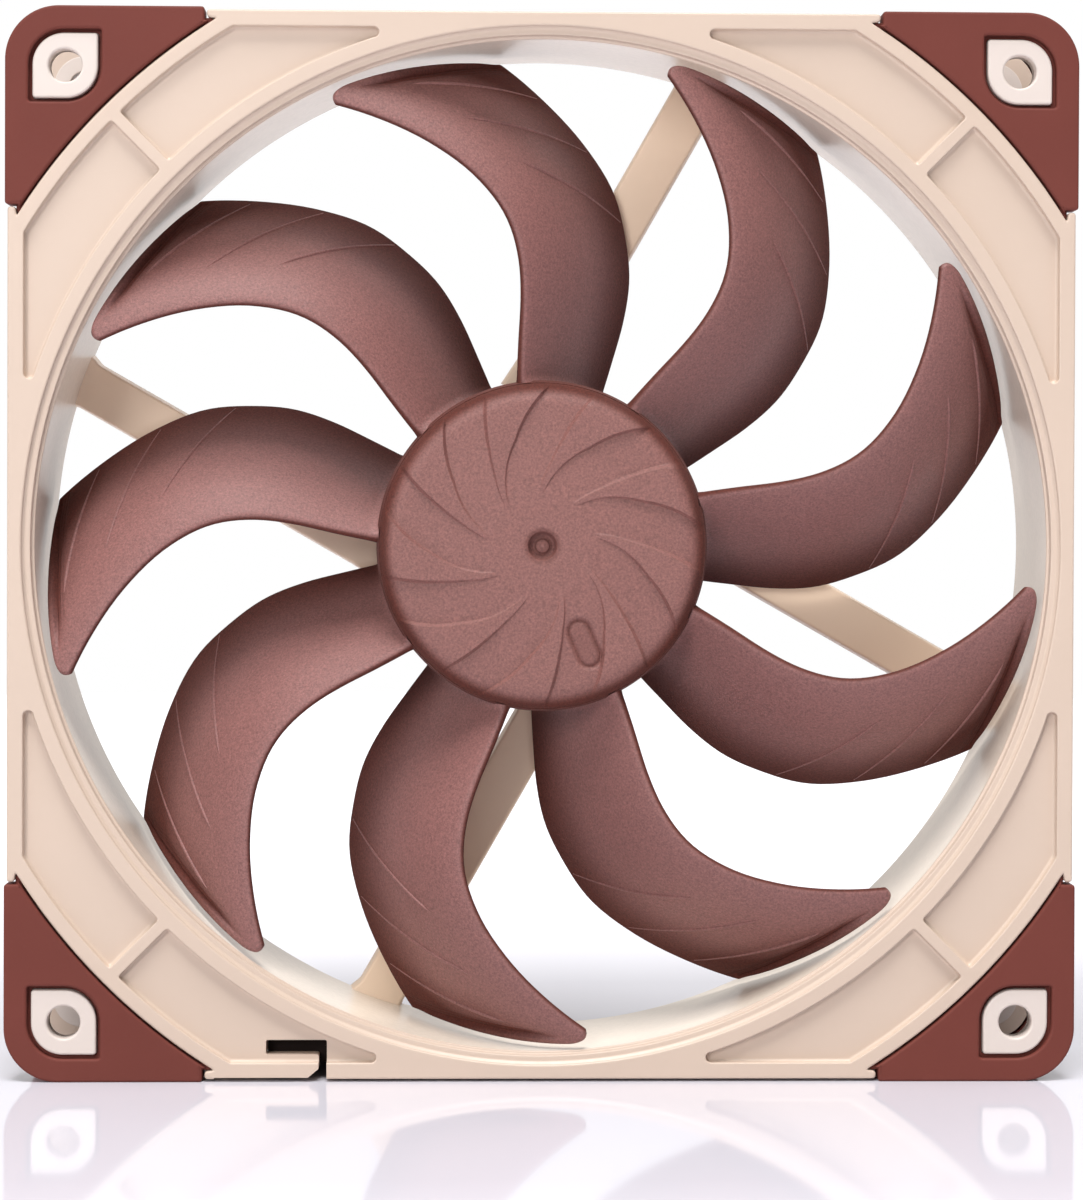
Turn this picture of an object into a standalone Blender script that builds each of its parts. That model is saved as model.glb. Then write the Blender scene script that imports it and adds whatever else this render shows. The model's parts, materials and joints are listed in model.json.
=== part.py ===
"""Axial case fan, 140 x 140 x 25 mm, standing upright.

Every piece is drawn lying down: x and y are the fan's front view and +z points
out of the intake side. One empty turns the whole fan upright, so that in the
world the intake faces -Y, the rotor axis is Y and the origin is the middle of
the fan on that axis.
"""

import math

import bmesh
import bpy
from mathutils import Matrix, Vector

MM = 0.001

# Driving dimensions, in millimetres
SIZE = 140.0  # over the corner pads
DEPTH = 25.0  # over the corner pads
HOLE_PITCH = 124.5
HOLE_D = 4.3
GAP = 0.3  # between pieces that touch

FRAME_INSET = 0.35  # frame side below the pad side
FACE_INSET = 0.15  # frame face below the pad face
FLANGE_T = 3.5
DUCT_R = 66.3
DUCT_OUTER_R = 68.3
FACE_ARC_R = 80.7  # the frame's face ends on this arc at each corner
HOOK_END = 43.9  # where the frame's sides end beside a pad

POCKET_IN_R = 69.8
POCKET_OUT_R = 78.8
POCKET_RIM = 2.1
POCKET_DEPTH = 1.2
POCKET_START_DEG = 18.6
RIB_HALF = 0.78

PAD_PLATE_T = 1.7
PAD_SKIRT_T = 1.6
PAD_CORNER_R = 7.0
BOSS = 8.5
BOSS_OPENING = 9.5

BLADES = 9
BLADE_T = 1.3
HUB_R = 21.5
HUB_WALL = 1.6
HUB_FRONT = 1.9  # hub face below the pad face
HUB_SKIRT_Z = -8.6

STRUTS = 4
STRUT_DEG = 60.3
STRUT_OFFSET = 11.9
STRUT_W = 6.8
STRUT_FRONT_Z = -9.0
STRUT_REAR_Z = -12.2
BASE_R = 21.5
BASE_FRONT_Z = -9.6

SHAFT_R = 2.0
BEARING_BORE_R = 2.3
BEARING_R = 4.0
HOUSING_BORE_R = 4.3
HOUSING_R = 5.5
SOCKET_R = 7.3

LEAD_R = 0.8
LEAD_Z = -11.3
CHANNEL_W = 2.4
CHANNEL_FLOOR_Z = -10.2

HALF = SIZE / 2
SIDE = HALF - FRAME_INSET
FACE_Z = DEPTH / 2 - FACE_INSET
FLANGE_Z = FACE_Z - FLANGE_T
HOLE_XY = HOLE_PITCH / 2
STRUT_U = Vector((math.cos(math.radians(STRUT_DEG)), math.sin(math.radians(STRUT_DEG)), 0))

# Blade stations: radius, leading and trailing edge angle in degrees, and how far
# each edge lies behind the pad face. The chord's camber grows toward the tip.
BLADE_STATIONS = (
    (20.7, 19.0, -12.6, 4.6, 20.2),
    (26.5, 16.9, -11.4, 3.8, 20.1),
    (32.5, 15.2, -10.3, 3.1, 20.0),
    (38.0, 15.0, -8.5, 2.6, 20.0),
    (43.5, 16.6, -5.3, 2.3, 20.0),
    (49.0, 20.4, -1.6, 2.0, 19.8),
    (54.5, 25.6, 3.7, 1.8, 19.5),
    (60.0, 31.4, 9.4, 1.7, 19.2),
    (64.2, 35.2, 13.7, 1.9, 18.8),
    (65.4, 33.6, 15.0, 2.2, 18.7),
)
CHORD_STEPS = 5


# ---------------------------------------------------------------- scene set-up


def clear_scene():
    for ob in list(bpy.data.objects):
        bpy.data.objects.remove(ob, do_unlink=True)


def new_collection(name):
    coll = bpy.data.collections.new(name)
    bpy.context.scene.collection.children.link(coll)
    return coll


clear_scene()
FAN = new_collection("case_fan")
CUTTERS = new_collection("case_fan_cutters")
UPRIGHT = bpy.data.objects.new("fan_upright", None)
UPRIGHT.rotation_euler = (math.radians(90), 0, 0)
FAN.objects.link(UPRIGHT)


def material(name, colour, roughness, metallic=0.0):
    mat = bpy.data.materials.new(name)
    mat.use_nodes = True
    shader = mat.node_tree.nodes["Principled BSDF"]
    shader.inputs["Base Color"].default_value = (*colour, 1.0)
    shader.inputs["Roughness"].default_value = roughness
    shader.inputs["Metallic"].default_value = metallic
    return mat


BEIGE = material("frame_beige_plastic", (0.73, 0.58, 0.48), 0.45)
BROWN = material("impeller_brown_plastic", (0.16, 0.07, 0.06), 0.35)
PAD_RUBBER = material("pad_brown_rubber", (0.22, 0.065, 0.052), 0.7)
STEEL = material("steel", (0.55, 0.55, 0.56), 0.3, 1.0)
BRASS = material("brass", (0.75, 0.58, 0.28), 0.3, 1.0)
MAGNET = material("ferrite_magnet", (0.06, 0.06, 0.065), 0.6)
BLACK_PLASTIC = material("black_plastic", (0.03, 0.03, 0.032), 0.5)
BLACK_RUBBER = material("black_rubber", (0.02, 0.02, 0.02), 0.75)
WIRE = material("enamelled_wire", (0.5, 0.2, 0.09), 0.35)
BOARD = material("circuit_board", (0.03, 0.16, 0.07), 0.5)
LABEL = material("label_film", (0.65, 0.55, 0.45), 0.4)
SINTER = material("sintered_bearing", (0.4, 0.31, 0.2), 0.55)
NYLON = material("natural_nylon", (0.8, 0.78, 0.72), 0.5)


# ------------------------------------------------------------- modelling tools


def place(ob, mat=None, cutter=False):
    """Puts an object under the upright empty, as a piece or as a cutter."""
    for coll in list(ob.users_collection):
        coll.objects.unlink(ob)
    (CUTTERS if cutter else FAN).objects.link(ob)
    ob.parent = UPRIGHT
    if cutter:
        ob.hide_render = True
        ob.display_type = "WIRE"
    if mat:
        ob.data.materials.clear()
        ob.data.materials.append(mat)
    return ob


def smooth(ob, angle=35):
    ob.data.shade_smooth()
    ob.data.set_sharp_from_angle(angle=math.radians(angle))
    return ob


def turned(name, profile, steps=64, mat=None, cutter=False, centre=(0, 0)):
    """A closed profile of (radius, z), outer side first and downward, turned about z."""
    mesh = bpy.data.meshes.new(name)
    points = [(r * MM, 0, z * MM) for r, z in profile]
    loop = [(i, (i + 1) % len(points)) for i in range(len(points))]
    edges = [(a, b) for a, b in loop if profile[a][0] > 0 or profile[b][0] > 0]
    mesh.from_pydata(points, edges, [])
    ob = bpy.data.objects.new(name, mesh)
    place(ob, mat, cutter)
    ob.location = (centre[0] * MM, centre[1] * MM, 0)
    screw = ob.modifiers.new("turn", "SCREW")
    screw.steps = steps
    screw.render_steps = steps
    screw.use_merge_vertices = True
    screw.merge_threshold = 0.00001
    screw.use_smooth_shade = True
    return ob


def evaluated_mesh(ob):
    bpy.context.view_layer.update()
    graph = bpy.context.evaluated_depsgraph_get()
    return bpy.data.meshes.new_from_object(ob.evaluated_get(graph))


def welded(mesh):
    bm = bmesh.new()
    bm.from_mesh(mesh)
    bmesh.ops.remove_doubles(bm, verts=bm.verts, dist=0.000005)
    bmesh.ops.recalc_face_normals(bm, faces=bm.faces)
    bm.to_mesh(mesh)
    bm.free()
    return mesh


def plate(name, outlines, low, high, mat=None, cutter=False):
    """Closed outlines of (x, y) filled flat and extruded from z low to z high."""
    curve = bpy.data.curves.new(name, "CURVE")
    curve.dimensions = "2D"
    curve.fill_mode = "BOTH"
    curve.extrude = (high - low) / 2 * MM
    for outline in outlines:
        spline = curve.splines.new("POLY")
        spline.points.add(len(outline) - 1)
        for point, (x, y) in zip(spline.points, outline):
            point.co = (x * MM, y * MM, 0, 1)
        spline.use_cyclic_u = True
    flat = bpy.data.objects.new(name + "_outline", curve)
    bpy.context.scene.collection.objects.link(flat)
    mesh = welded(evaluated_mesh(flat))
    bpy.data.objects.remove(flat, do_unlink=True)
    mesh.transform(Matrix.Translation((0, 0, (low + high) / 2 * MM)))
    ob = bpy.data.objects.new(name, mesh)
    return place(ob, mat, cutter)


def tube(name, points, radius, mat):
    """A round wire along points, with filled ends."""
    curve = bpy.data.curves.new(name, "CURVE")
    curve.dimensions = "3D"
    curve.bevel_depth = radius * MM
    curve.bevel_resolution = 2
    curve.use_fill_caps = True
    spline = curve.splines.new("POLY")
    spline.points.add(len(points) - 1)
    for point, co in zip(spline.points, points):
        point.co = (*(Vector(co) * MM), 1)
    wire = bpy.data.objects.new(name + "_route", curve)
    bpy.context.scene.collection.objects.link(wire)
    mesh = welded(evaluated_mesh(wire))
    bpy.data.objects.remove(wire, do_unlink=True)
    return smooth(place(bpy.data.objects.new(name, mesh), mat))


def box(name, centre, size, mat=None, cutter=False, turn_deg=0.0, bevel=0.0):
    bm = bmesh.new()
    bmesh.ops.create_cube(bm, size=1.0)
    bmesh.ops.scale(bm, vec=[s * MM for s in size], verts=bm.verts)
    mesh = bpy.data.meshes.new(name)
    bm.to_mesh(mesh)
    bm.free()
    ob = bpy.data.objects.new(name, mesh)
    ob.location = [c * MM for c in centre]
    ob.rotation_euler = (0, 0, math.radians(turn_deg))
    if bevel:
        edge = ob.modifiers.new("edges", "BEVEL")
        edge.width = bevel * MM
        edge.segments = 2
    return place(ob, mat, cutter)


def boolean(ob, operand, operation="DIFFERENCE"):
    mod = ob.modifiers.new(operand.name, "BOOLEAN")
    mod.operation = operation
    mod.solver = "EXACT"
    mod.object = operand
    return ob


def union_of(name, pieces, cutter=False, mat=None):
    """One mesh object holding copies of several placed pieces, kept as an operand."""
    bm = bmesh.new()
    for piece in pieces:
        mesh = evaluated_mesh(piece)
        mesh.transform(piece.matrix_basis)
        bm.from_mesh(mesh)
        bpy.data.meshes.remove(mesh)
        bpy.data.objects.remove(piece, do_unlink=True)
    mesh = bpy.data.meshes.new(name)
    bm.to_mesh(mesh)
    bm.free()
    return place(bpy.data.objects.new(name, mesh), mat, cutter)


def arc(centre, radius, start, end, steps):
    """Points on an arc, in degrees, both ends included."""
    points = []
    for i in range(steps + 1):
        angle = math.radians(start + (end - start) * i / steps)
        points.append((centre[0] + radius * math.cos(angle), centre[1] + radius * math.sin(angle)))
    return points


def mirrored(outline, sx, sy):
    flipped = [(x * sx, y * sy) for x, y in outline]
    return flipped if sx * sy > 0 else flipped[::-1]


def turned_point(along, across, z=0.0, quarter=0):
    """A point on a strut: along it from the foot of the axis, and across from its middle."""
    u = STRUT_U.copy()
    u.rotate(Matrix.Rotation(math.radians(90 * quarter), 3, "Z"))
    side = Vector((-u.y, u.x, 0))
    p = u * along + side * (STRUT_OFFSET + across)
    return (p.x, p.y, z)


# ----------------------------------------------------------------------- frame


def frame_quadrant():
    """The frame's face in the first quarter, from the right side to the top side."""
    hook_in = 68.5
    start = math.degrees(math.acos(hook_in / FACE_ARC_R))
    points = [(SIDE, HOOK_END), (hook_in + 0.15, HOOK_END)]
    points += arc((0, 0), FACE_ARC_R, start, 90 - start, 8)
    points += [(HOOK_END, hook_in + 0.15), (HOOK_END, SIDE)]
    return points


def frame_outline():
    points = []
    for quarter in range(4):
        angle = math.radians(90 * quarter)
        c, s = math.cos(angle), math.sin(angle)
        points += [(x * c - y * s, x * s + y * c) for x, y in frame_quadrant()]
    return points


def corner_web():
    """Thin flange under a pad, in the first quarter, with the outer corner rounded."""
    edge = HALF - PAD_SKIRT_T - GAP
    radius = PAD_CORNER_R - PAD_SKIRT_T - GAP
    low = HOOK_END + 0.6
    points = [(52.0, 52.0), (edge, low)]
    points += arc((edge - radius, edge - radius), radius, 0, 90, 5)
    points += [(low, edge)]
    return points


def leaf(size):
    """Square with two opposite corners rounded, about a first-quarter screw hole."""
    half = size / 2
    radius = half * 0.95
    c = HOLE_XY
    points = [(c + half, c - half)]
    points += arc((c + half - radius, c + half - radius), radius, 0, 90, 5)
    points += [(c - half, c + half)]
    points += arc((c - half + radius, c - half + radius), radius, 180, 270, 5)
    return points


def pocket_outline():
    """Shallow pocket from the side's narrow end to the diagonal rib."""
    rim_x = SIDE - POCKET_RIM
    rib_in = 45 - math.degrees(RIB_HALF / POCKET_IN_R)
    rib_out = 45 - math.degrees(RIB_HALF / POCKET_OUT_R)
    rim_deg = math.degrees(math.acos(rim_x / POCKET_OUT_R))
    inner = arc((0, 0), POCKET_IN_R, POCKET_START_DEG, rib_in, 5)
    outer = arc((0, 0), POCKET_OUT_R, rib_out, rim_deg, 3)
    start_x, start_y = inner[0]
    middle_x = (start_x + rim_x) / 2
    end = arc((middle_x, start_y), (rim_x - start_x) / 2, 0, -180, 4)
    return inner[1:] + outer + end


def pocket_outlines():
    octant = pocket_outline()
    diagonal = [(y, x) for x, y in octant][::-1]
    outlines = []
    for sx in (1, -1):
        for sy in (1, -1):
            outlines.append(mirrored(octant, sx, sy))
            outlines.append(mirrored(diagonal, sx, sy))
    return outlines


def slot_outline():
    """L-shaped cable slot: an arm inside the pocket and a leg out through the rim."""
    return [
        (-35.97, -64.7),
        (-28.0, -64.7),
        (-28.0, -71.0),
        (-29.05, -71.0),
        (-29.05, -66.6),
        (-35.97, -66.6),
    ]


def build_frame():
    """The duct's barrel joined to both flanges, bored out, then given its motor mount."""
    barrel = [(0, FLANGE_Z + 1), (DUCT_OUTER_R, FLANGE_Z + 1), (DUCT_OUTER_R, -FLANGE_Z - 1), (0, -FLANGE_Z - 1)]
    frame = turned("frame", barrel, steps=72, mat=BEIGE)
    for side, low, high in (("front", FLANGE_Z, FACE_Z), ("rear", -FACE_Z, -FLANGE_Z)):
        flange = plate("flange_" + side, [frame_outline()], low, high, cutter=True)
        boolean(frame, flange, "UNION")
    webs, bosses, holes = [], [], []
    for sx in (1, -1):
        for sy in (1, -1):
            webs.append(mirrored(corner_web(), sx, sy))
            bosses.append(mirrored(leaf(BOSS), sx, sy))
            holes.append(arc((sx * HOLE_XY, sy * HOLE_XY), HOLE_D / 2, 0, 337.5, 15))
    bore = [(0, DEPTH), (DUCT_R + 1.9, DEPTH), (DUCT_R + 1.5, FACE_Z)]
    bore += [(DUCT_R + 1.15, FACE_Z - 0.75), (DUCT_R + 0.45, FACE_Z - 0.75)]
    bore += [(DUCT_R + 0.35, FACE_Z - 1.55), (DUCT_R, FACE_Z - 1.55), (DUCT_R, -FACE_Z + 0.45)]
    bore += [(DUCT_R + 0.4, -FACE_Z), (DUCT_R + 0.4, -DEPTH), (0, -DEPTH)]
    boolean(frame, turned("duct_bore", bore, steps=80, cutter=True))
    web_top = DEPTH / 2 - PAD_PLATE_T - GAP
    boss_top = DEPTH / 2 - 0.4
    for side, sign in (("front", 1), ("rear", -1)):
        low, high = sorted((sign * (FLANGE_Z + 0.1), sign * web_top))
        boolean(frame, plate("web_" + side, webs, low, high, cutter=True), "UNION")
        low, high = sorted((sign * (FLANGE_Z + 0.5), sign * boss_top))
        boolean(frame, plate("boss_" + side, bosses, low, high, cutter=True), "UNION")
    base = turned(
        "motor_base",
        [
            (BASE_R, BASE_FRONT_Z),
            (BASE_R, -FACE_Z),
            (18.1, -FACE_Z),
            (18.1, -FACE_Z + 0.75),
            (0, -FACE_Z + 0.75),
            (0, -10.3),
            (HOUSING_R + GAP, -10.3),
            (HOUSING_R + GAP, -7.2),
            (SOCKET_R, -7.2),
            (SOCKET_R, BASE_FRONT_Z),
        ],
        steps=48,
        cutter=True,
    )
    boolean(frame, base, "UNION")
    length = 50.0
    for quarter in range(STRUTS):
        x, y, _ = turned_point(16.6 + length / 2, 0, 0, quarter)
        strut = box(
            "strut_%d" % quarter,
            (x, y, (STRUT_FRONT_Z + STRUT_REAR_Z) / 2),
            (length, STRUT_W, STRUT_FRONT_Z - STRUT_REAR_Z),
            cutter=True,
            turn_deg=STRUT_DEG + 90 * quarter,
        )
        boolean(frame, strut, "UNION")
    boolean(frame, plate("screw_holes", holes, -DEPTH, DEPTH, cutter=True))
    pockets = plate("pockets", pocket_outlines(), FACE_Z - POCKET_DEPTH, FACE_Z + 1, cutter=True)
    boolean(frame, pockets)
    boolean(frame, plate("cable_slot", [slot_outline()], FLANGE_Z - 1, DEPTH, cutter=True))
    channel = box(
        "lead_channel",
        (*turned_point(43.5, 0, 0, 2)[:2], CHANNEL_FLOOR_Z - 2),
        (57.0, CHANNEL_W, 4.0),
        cutter=True,
        turn_deg=STRUT_DEG,
    )
    boolean(frame, channel)
    exit_cut = box(
        "lead_exit",
        (*turned_point(69.6, 0, 0, 2)[:2], -10.6),
        (2.4, 6.0, 8.0),
        cutter=True,
        turn_deg=STRUT_DEG,
    )
    boolean(frame, exit_cut)
    return smooth(frame)


# ---------------------------------------------------------------- corner pads


def pad_outline():
    inner = FACE_ARC_R + GAP
    end = HOOK_END + GAP
    step = 68.2
    start = math.degrees(math.acos(step / inner))
    points = [(HALF, end)]
    points += arc((HALF - PAD_CORNER_R, HALF - PAD_CORNER_R), PAD_CORNER_R, 0, 90, 6)
    points += [(end, HALF), (end, step)]
    points += arc((0, 0), inner, 90 - start, start, 8)
    points += [(step, end)]
    return points


def pad_hollow():
    """Room inside a pad for the frame's corner web."""
    edge = HALF - PAD_SKIRT_T
    radius = PAD_CORNER_R - PAD_SKIRT_T
    points = [(40.0, 40.0), (edge, 40.0)]
    points += arc((edge - radius, edge - radius), radius, 0, 90, 5)
    points += [(40.0, edge)]
    return points


def build_pad(name, sx, sy, side):
    outer = side * DEPTH / 2
    inner = side * FLANGE_Z
    low, high = sorted((outer, inner))
    outlines = [mirrored(pad_outline(), sx, sy), mirrored(leaf(BOSS_OPENING), sx, sy)[::-1]]
    pad = plate(name, outlines, low, high, mat=PAD_RUBBER)
    ledge = outer - side * PAD_PLATE_T
    low, high = sorted((ledge, inner - side * 2))
    hollow = plate(name + "_hollow", [mirrored(pad_hollow(), sx, sy)], low, high, cutter=True)
    return smooth(boolean(pad, hollow))


def build_pads():
    for side_name, side in (("front", 1), ("rear", -1)):
        for sy, row in ((1, "top"), (-1, "bottom")):
            for sx, column in ((-1, "left"), (1, "right")):
                build_pad("pad_%s_%s_%s" % (side_name, row, column), sx, sy, side)


# ------------------------------------------------------------------- impeller


def blade_point(station, t):
    """A point on the blade's middle surface: t runs from trailing to leading edge."""
    radius, lead_deg, trail_deg, lead_depth, trail_depth = station
    share = (radius - BLADE_STATIONS[0][0]) / (BLADE_STATIONS[-1][0] - BLADE_STATIONS[0][0])
    camber = 1.15 + 0.5 * share
    angle = math.radians(trail_deg + (lead_deg - trail_deg) * t)
    depth = lead_depth + (trail_depth - lead_depth) * (1 - t) ** camber
    return (radius * math.cos(angle), radius * math.sin(angle), DEPTH / 2 - depth)


def build_blade(index):
    """One swept blade as a lofted sheet given an even thickness."""
    bm = bmesh.new()
    rows = []
    for station in BLADE_STATIONS:
        row = []
        for step in range(CHORD_STEPS + 1):
            row.append(bm.verts.new(Vector(blade_point(station, step / CHORD_STEPS)) * MM))
        rows.append(row)
    for low, high in zip(rows, rows[1:]):
        for i in range(CHORD_STEPS):
            bm.faces.new((low[i], high[i], high[i + 1], low[i + 1]))
    bmesh.ops.recalc_face_normals(bm, faces=bm.faces)
    mesh = bpy.data.meshes.new("blade")
    bm.to_mesh(mesh)
    bm.free()
    blade = bpy.data.objects.new("blade_%d" % index, mesh)
    blade.rotation_euler = (0, 0, math.radians(360 / BLADES * index))
    shell = blade.modifiers.new("thickness", "SOLIDIFY")
    shell.thickness = BLADE_T * MM
    shell.offset = 0.0
    shell.use_even_offset = True
    return place(blade, cutter=True)


def build_impeller():
    front = DEPTH / 2 - HUB_FRONT
    profile = [(0, front + 0.3), (8, front + 0.25), (15, front + 0.1), (19.3, front - 0.15)]
    profile += [(20.6, front - 0.6), (21.3, front - 1.3), (HUB_R, front - 2.2)]
    profile += [(HUB_R, HUB_SKIRT_Z), (HUB_R - HUB_WALL, HUB_SKIRT_Z)]
    profile += [(HUB_R - HUB_WALL, front - 2.2), (5.0, front - 2.2), (5.0, front - 4.0)]
    profile += [(3.6, front - 4.0), (3.6, front - 1.5), (0, front - 1.5)]
    impeller = turned("impeller", profile, steps=54, mat=BROWN)
    blades = union_of("blades", [build_blade(i) for i in range(BLADES)], cutter=True)
    return boolean(impeller, blades, "UNION")


# ---------------------------------------------------------------- rotor inside


def build_rotor_inside():
    hub_in = HUB_R - HUB_WALL
    top = DEPTH / 2 - HUB_FRONT - 2.2 - GAP
    yoke_r = hub_in - GAP
    turned(
        "rotor_yoke",
        [
            (yoke_r, top),
            (yoke_r, -8.2),
            (yoke_r - 1.0, -8.2),
            (yoke_r - 1.0, top - 1.0),
            (5.3, top - 1.0),
            (5.3, top),
        ],
        steps=48,
        mat=STEEL,
    )
    outer = yoke_r - 1.0 - GAP
    turned(
        "ring_magnet",
        [(outer, 2.5), (outer, -7.0), (outer - 2.0, -7.0), (outer - 2.0, 2.5)],
        steps=48,
        mat=MAGNET,
    )
    turned(
        "shaft_insert",
        [(3.3, 8.8), (3.3, 3.8), (SHAFT_R + GAP, 3.8), (SHAFT_R + GAP, 8.8)],
        steps=24,
        mat=BRASS,
    )
    turned(
        "shaft",
        [
            (0, 8.8),
            (1.7, 8.8),
            (SHAFT_R, 8.5),
            (SHAFT_R, -6.6),
            (1.5, -6.6),
            (1.5, -7.6),
            (SHAFT_R, -7.6),
            (SHAFT_R, -7.9),
            (1.2, -8.2),
            (0, -8.3),
        ],
        steps=24,
        mat=STEEL,
    )


# ---------------------------------------------------------------- stator inside


def build_bearing():
    turned(
        "bearing_housing",
        [
            (HOUSING_R, 3.0),
            (HOUSING_R, -10.0),
            (0, -10.0),
            (0, -9.5),
            (HOUSING_BORE_R, -9.5),
            (HOUSING_BORE_R, 3.0),
        ],
        steps=32,
        mat=BRASS,
    )
    turned(
        "bearing_sleeve",
        [
            (BEARING_R, 1.6),
            (BEARING_R, -6.2),
            (BEARING_BORE_R, -6.2),
            (BEARING_BORE_R, 1.6),
        ],
        steps=32,
        mat=SINTER,
    )
    turned(
        "oil_seal",
        [(BEARING_R, 2.7), (BEARING_R, 1.9), (BEARING_BORE_R + 0.1, 1.9), (BEARING_BORE_R + 0.1, 2.7)],
        steps=32,
        mat=NYLON,
    )
    turned(
        "shaft_clip",
        [(BEARING_R, -6.9), (BEARING_R, -7.3), (1.8, -7.3), (1.8, -6.9)],
        steps=32,
        mat=NYLON,
    )
    turned(
        "thrust_plate",
        [(0, -8.6), (BEARING_R - 0.2, -8.6), (BEARING_R - 0.2, -9.2), (0, -9.2)],
        steps=32,
        mat=STEEL,
    )


POLES = 4
CORE_TOP = 1.6
CORE_LOW = -4.4
CORE_R = 15.4
COIL_IN = 8.9
COIL_OUT = 12.4


def tooth_outline(radius_in, radius_out, neck, shoe_in, shoe_deg, steps):
    """One ring with four necks that end in curved shoes, as a closed outline."""
    points = []
    for pole in range(POLES):
        turn = math.radians(360 / POLES * pole)
        c, s = math.cos(turn), math.sin(turn)
        foot = math.sqrt(radius_out**2 - (neck / 2) ** 2)
        knee = math.sqrt(shoe_in**2 - (neck / 2) ** 2)
        local = [(foot, -neck / 2), (knee, -neck / 2)]
        local += [arc((0, 0), shoe_in, -shoe_deg, -shoe_deg, 1)[0]]
        local += arc((0, 0), radius_in, -shoe_deg, shoe_deg, steps)
        local += [arc((0, 0), shoe_in, shoe_deg, shoe_deg, 1)[0]]
        local += [(knee, neck / 2), (foot, neck / 2)]
        foot_deg = math.degrees(math.asin(neck / 2 / radius_out))
        local += arc((0, 0), radius_out, foot_deg, 90 - foot_deg, 3)[1:-1]
        points += [(x * c - y * s, x * s + y * c) for x, y in local]
    return points


def build_stator():
    bore = HOUSING_R + GAP
    hole = arc((0, 0), bore, 0, 345, 23)
    core = tooth_outline(CORE_R, 8.0, 3.6, 13.6, 37, 8)
    plate("stator_core", [core, hole], CORE_LOW, CORE_TOP, mat=STEEL)
    cap = tooth_outline(15.0, 8.3, 4.2, 13.2, 30, 6)
    plate("insulator_front", [cap, hole], CORE_TOP + GAP, CORE_TOP + 1.0, mat=NYLON)
    plate("insulator_rear", [cap, hole], CORE_LOW - 1.0, CORE_LOW - GAP, mat=NYLON)
    for pole in range(POLES):
        build_coil(pole)


def build_coil(pole):
    """A winding around one neck: a rounded block with a window for the neck."""
    middle = (COIL_IN + COIL_OUT) / 2
    turn = 90 * pole
    angle = math.radians(turn)
    centre = (middle * math.cos(angle), middle * math.sin(angle), (CORE_TOP + CORE_LOW) / 2)
    height = CORE_TOP - CORE_LOW + 2.0
    coil = box(
        "coil_%d" % (pole + 1),
        centre,
        (COIL_OUT - COIL_IN, 7.4, height + 2 * GAP + 2.2),
        mat=WIRE,
        turn_deg=turn,
        bevel=0.8,
    )
    window = box(
        "coil_window_%d" % (pole + 1),
        centre,
        (8.0, 4.2 + 2 * GAP, height + 2 * GAP),
        cutter=True,
        turn_deg=turn,
    )
    return boolean(coil, window)


def build_board():
    board_hole = arc((0, 0), SOCKET_R + 0.4, 0, 345, 23)
    plate("circuit_board", [arc((0, 0), 16.4, 0, 350, 35), board_hole], -9.0, -8.0, mat=BOARD)
    box("driver_chip", (-8.3, -8.3, -7.1), (4.4, 5.0, 1.2), mat=BLACK_PLASTIC, turn_deg=45)
    box("hall_sensor", (9.6, 9.6, -7.1), (1.6, 3.2, 1.2), mat=BLACK_PLASTIC, turn_deg=45)
    turned(
        "capacitor",
        [(1.5, -6.4), (1.5, -7.7), (0, -7.7), (0, -6.4)],
        steps=16,
        mat=BLACK_PLASTIC,
        centre=(-8.5, 8.5),
    )


# ------------------------------------------------------- label, lead and gland


def build_rear_fittings():
    label = turned("rear_label", [(0, -11.9), (17.8, -11.9), (17.8, -12.2), (0, -12.2)], steps=48, mat=LABEL)
    route = [turned_point(s, 0, LEAD_Z, 2) for s in (18.0, 30.0, 42.0, 54.0, 62.0, 70.4)]
    tube("motor_lead", route, LEAD_R, BLACK_RUBBER)
    build_gland()
    return label


def build_gland():
    """Black rubber gland between the flanges, behind the slot, gripping the lead's end."""
    inner = DUCT_OUTER_R + GAP
    left, right = 238.5, 251.5
    low = -SIDE + 1.6
    points = arc((0, 0), inner, left, right, 4)
    points += [(points[-1][0], low), (points[0][0], low)]
    gland = plate("cable_gland", [points], -FLANGE_Z + GAP, FLANGE_Z - GAP, mat=BLACK_RUBBER)
    tongue = box(
        "gland_tongue",
        (*turned_point(69.6, 0, 0, 2)[:2], -9.4),
        (1.8, 5.4, 5.2),
        cutter=True,
        turn_deg=STRUT_DEG,
    )
    boolean(gland, tongue, "UNION")
    slot = box(
        "gland_lead_seat",
        (*turned_point(69.6, 0, 0, 2)[:2], CHANNEL_FLOOR_Z - 2),
        (4.0, CHANNEL_W, 4.0),
        cutter=True,
        turn_deg=STRUT_DEG,
    )
    return boolean(gland, slot)


build_frame()
build_pads()
build_impeller()
build_rotor_inside()
build_bearing()
build_stator()
build_board()
build_rear_fittings()
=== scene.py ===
"""Axial case fan: the looks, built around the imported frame.

Shapes are drawn as in the fan's front view: (x, y, z) in millimetres, z out of the
intake side. at() turns such a point into the frame's metres, intake toward -Y.
"""

import json
import math

import bmesh
import bpy
import numpy as np
from mathutils import Matrix, Vector
from mathutils.geometry import tessellate_polygon


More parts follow.
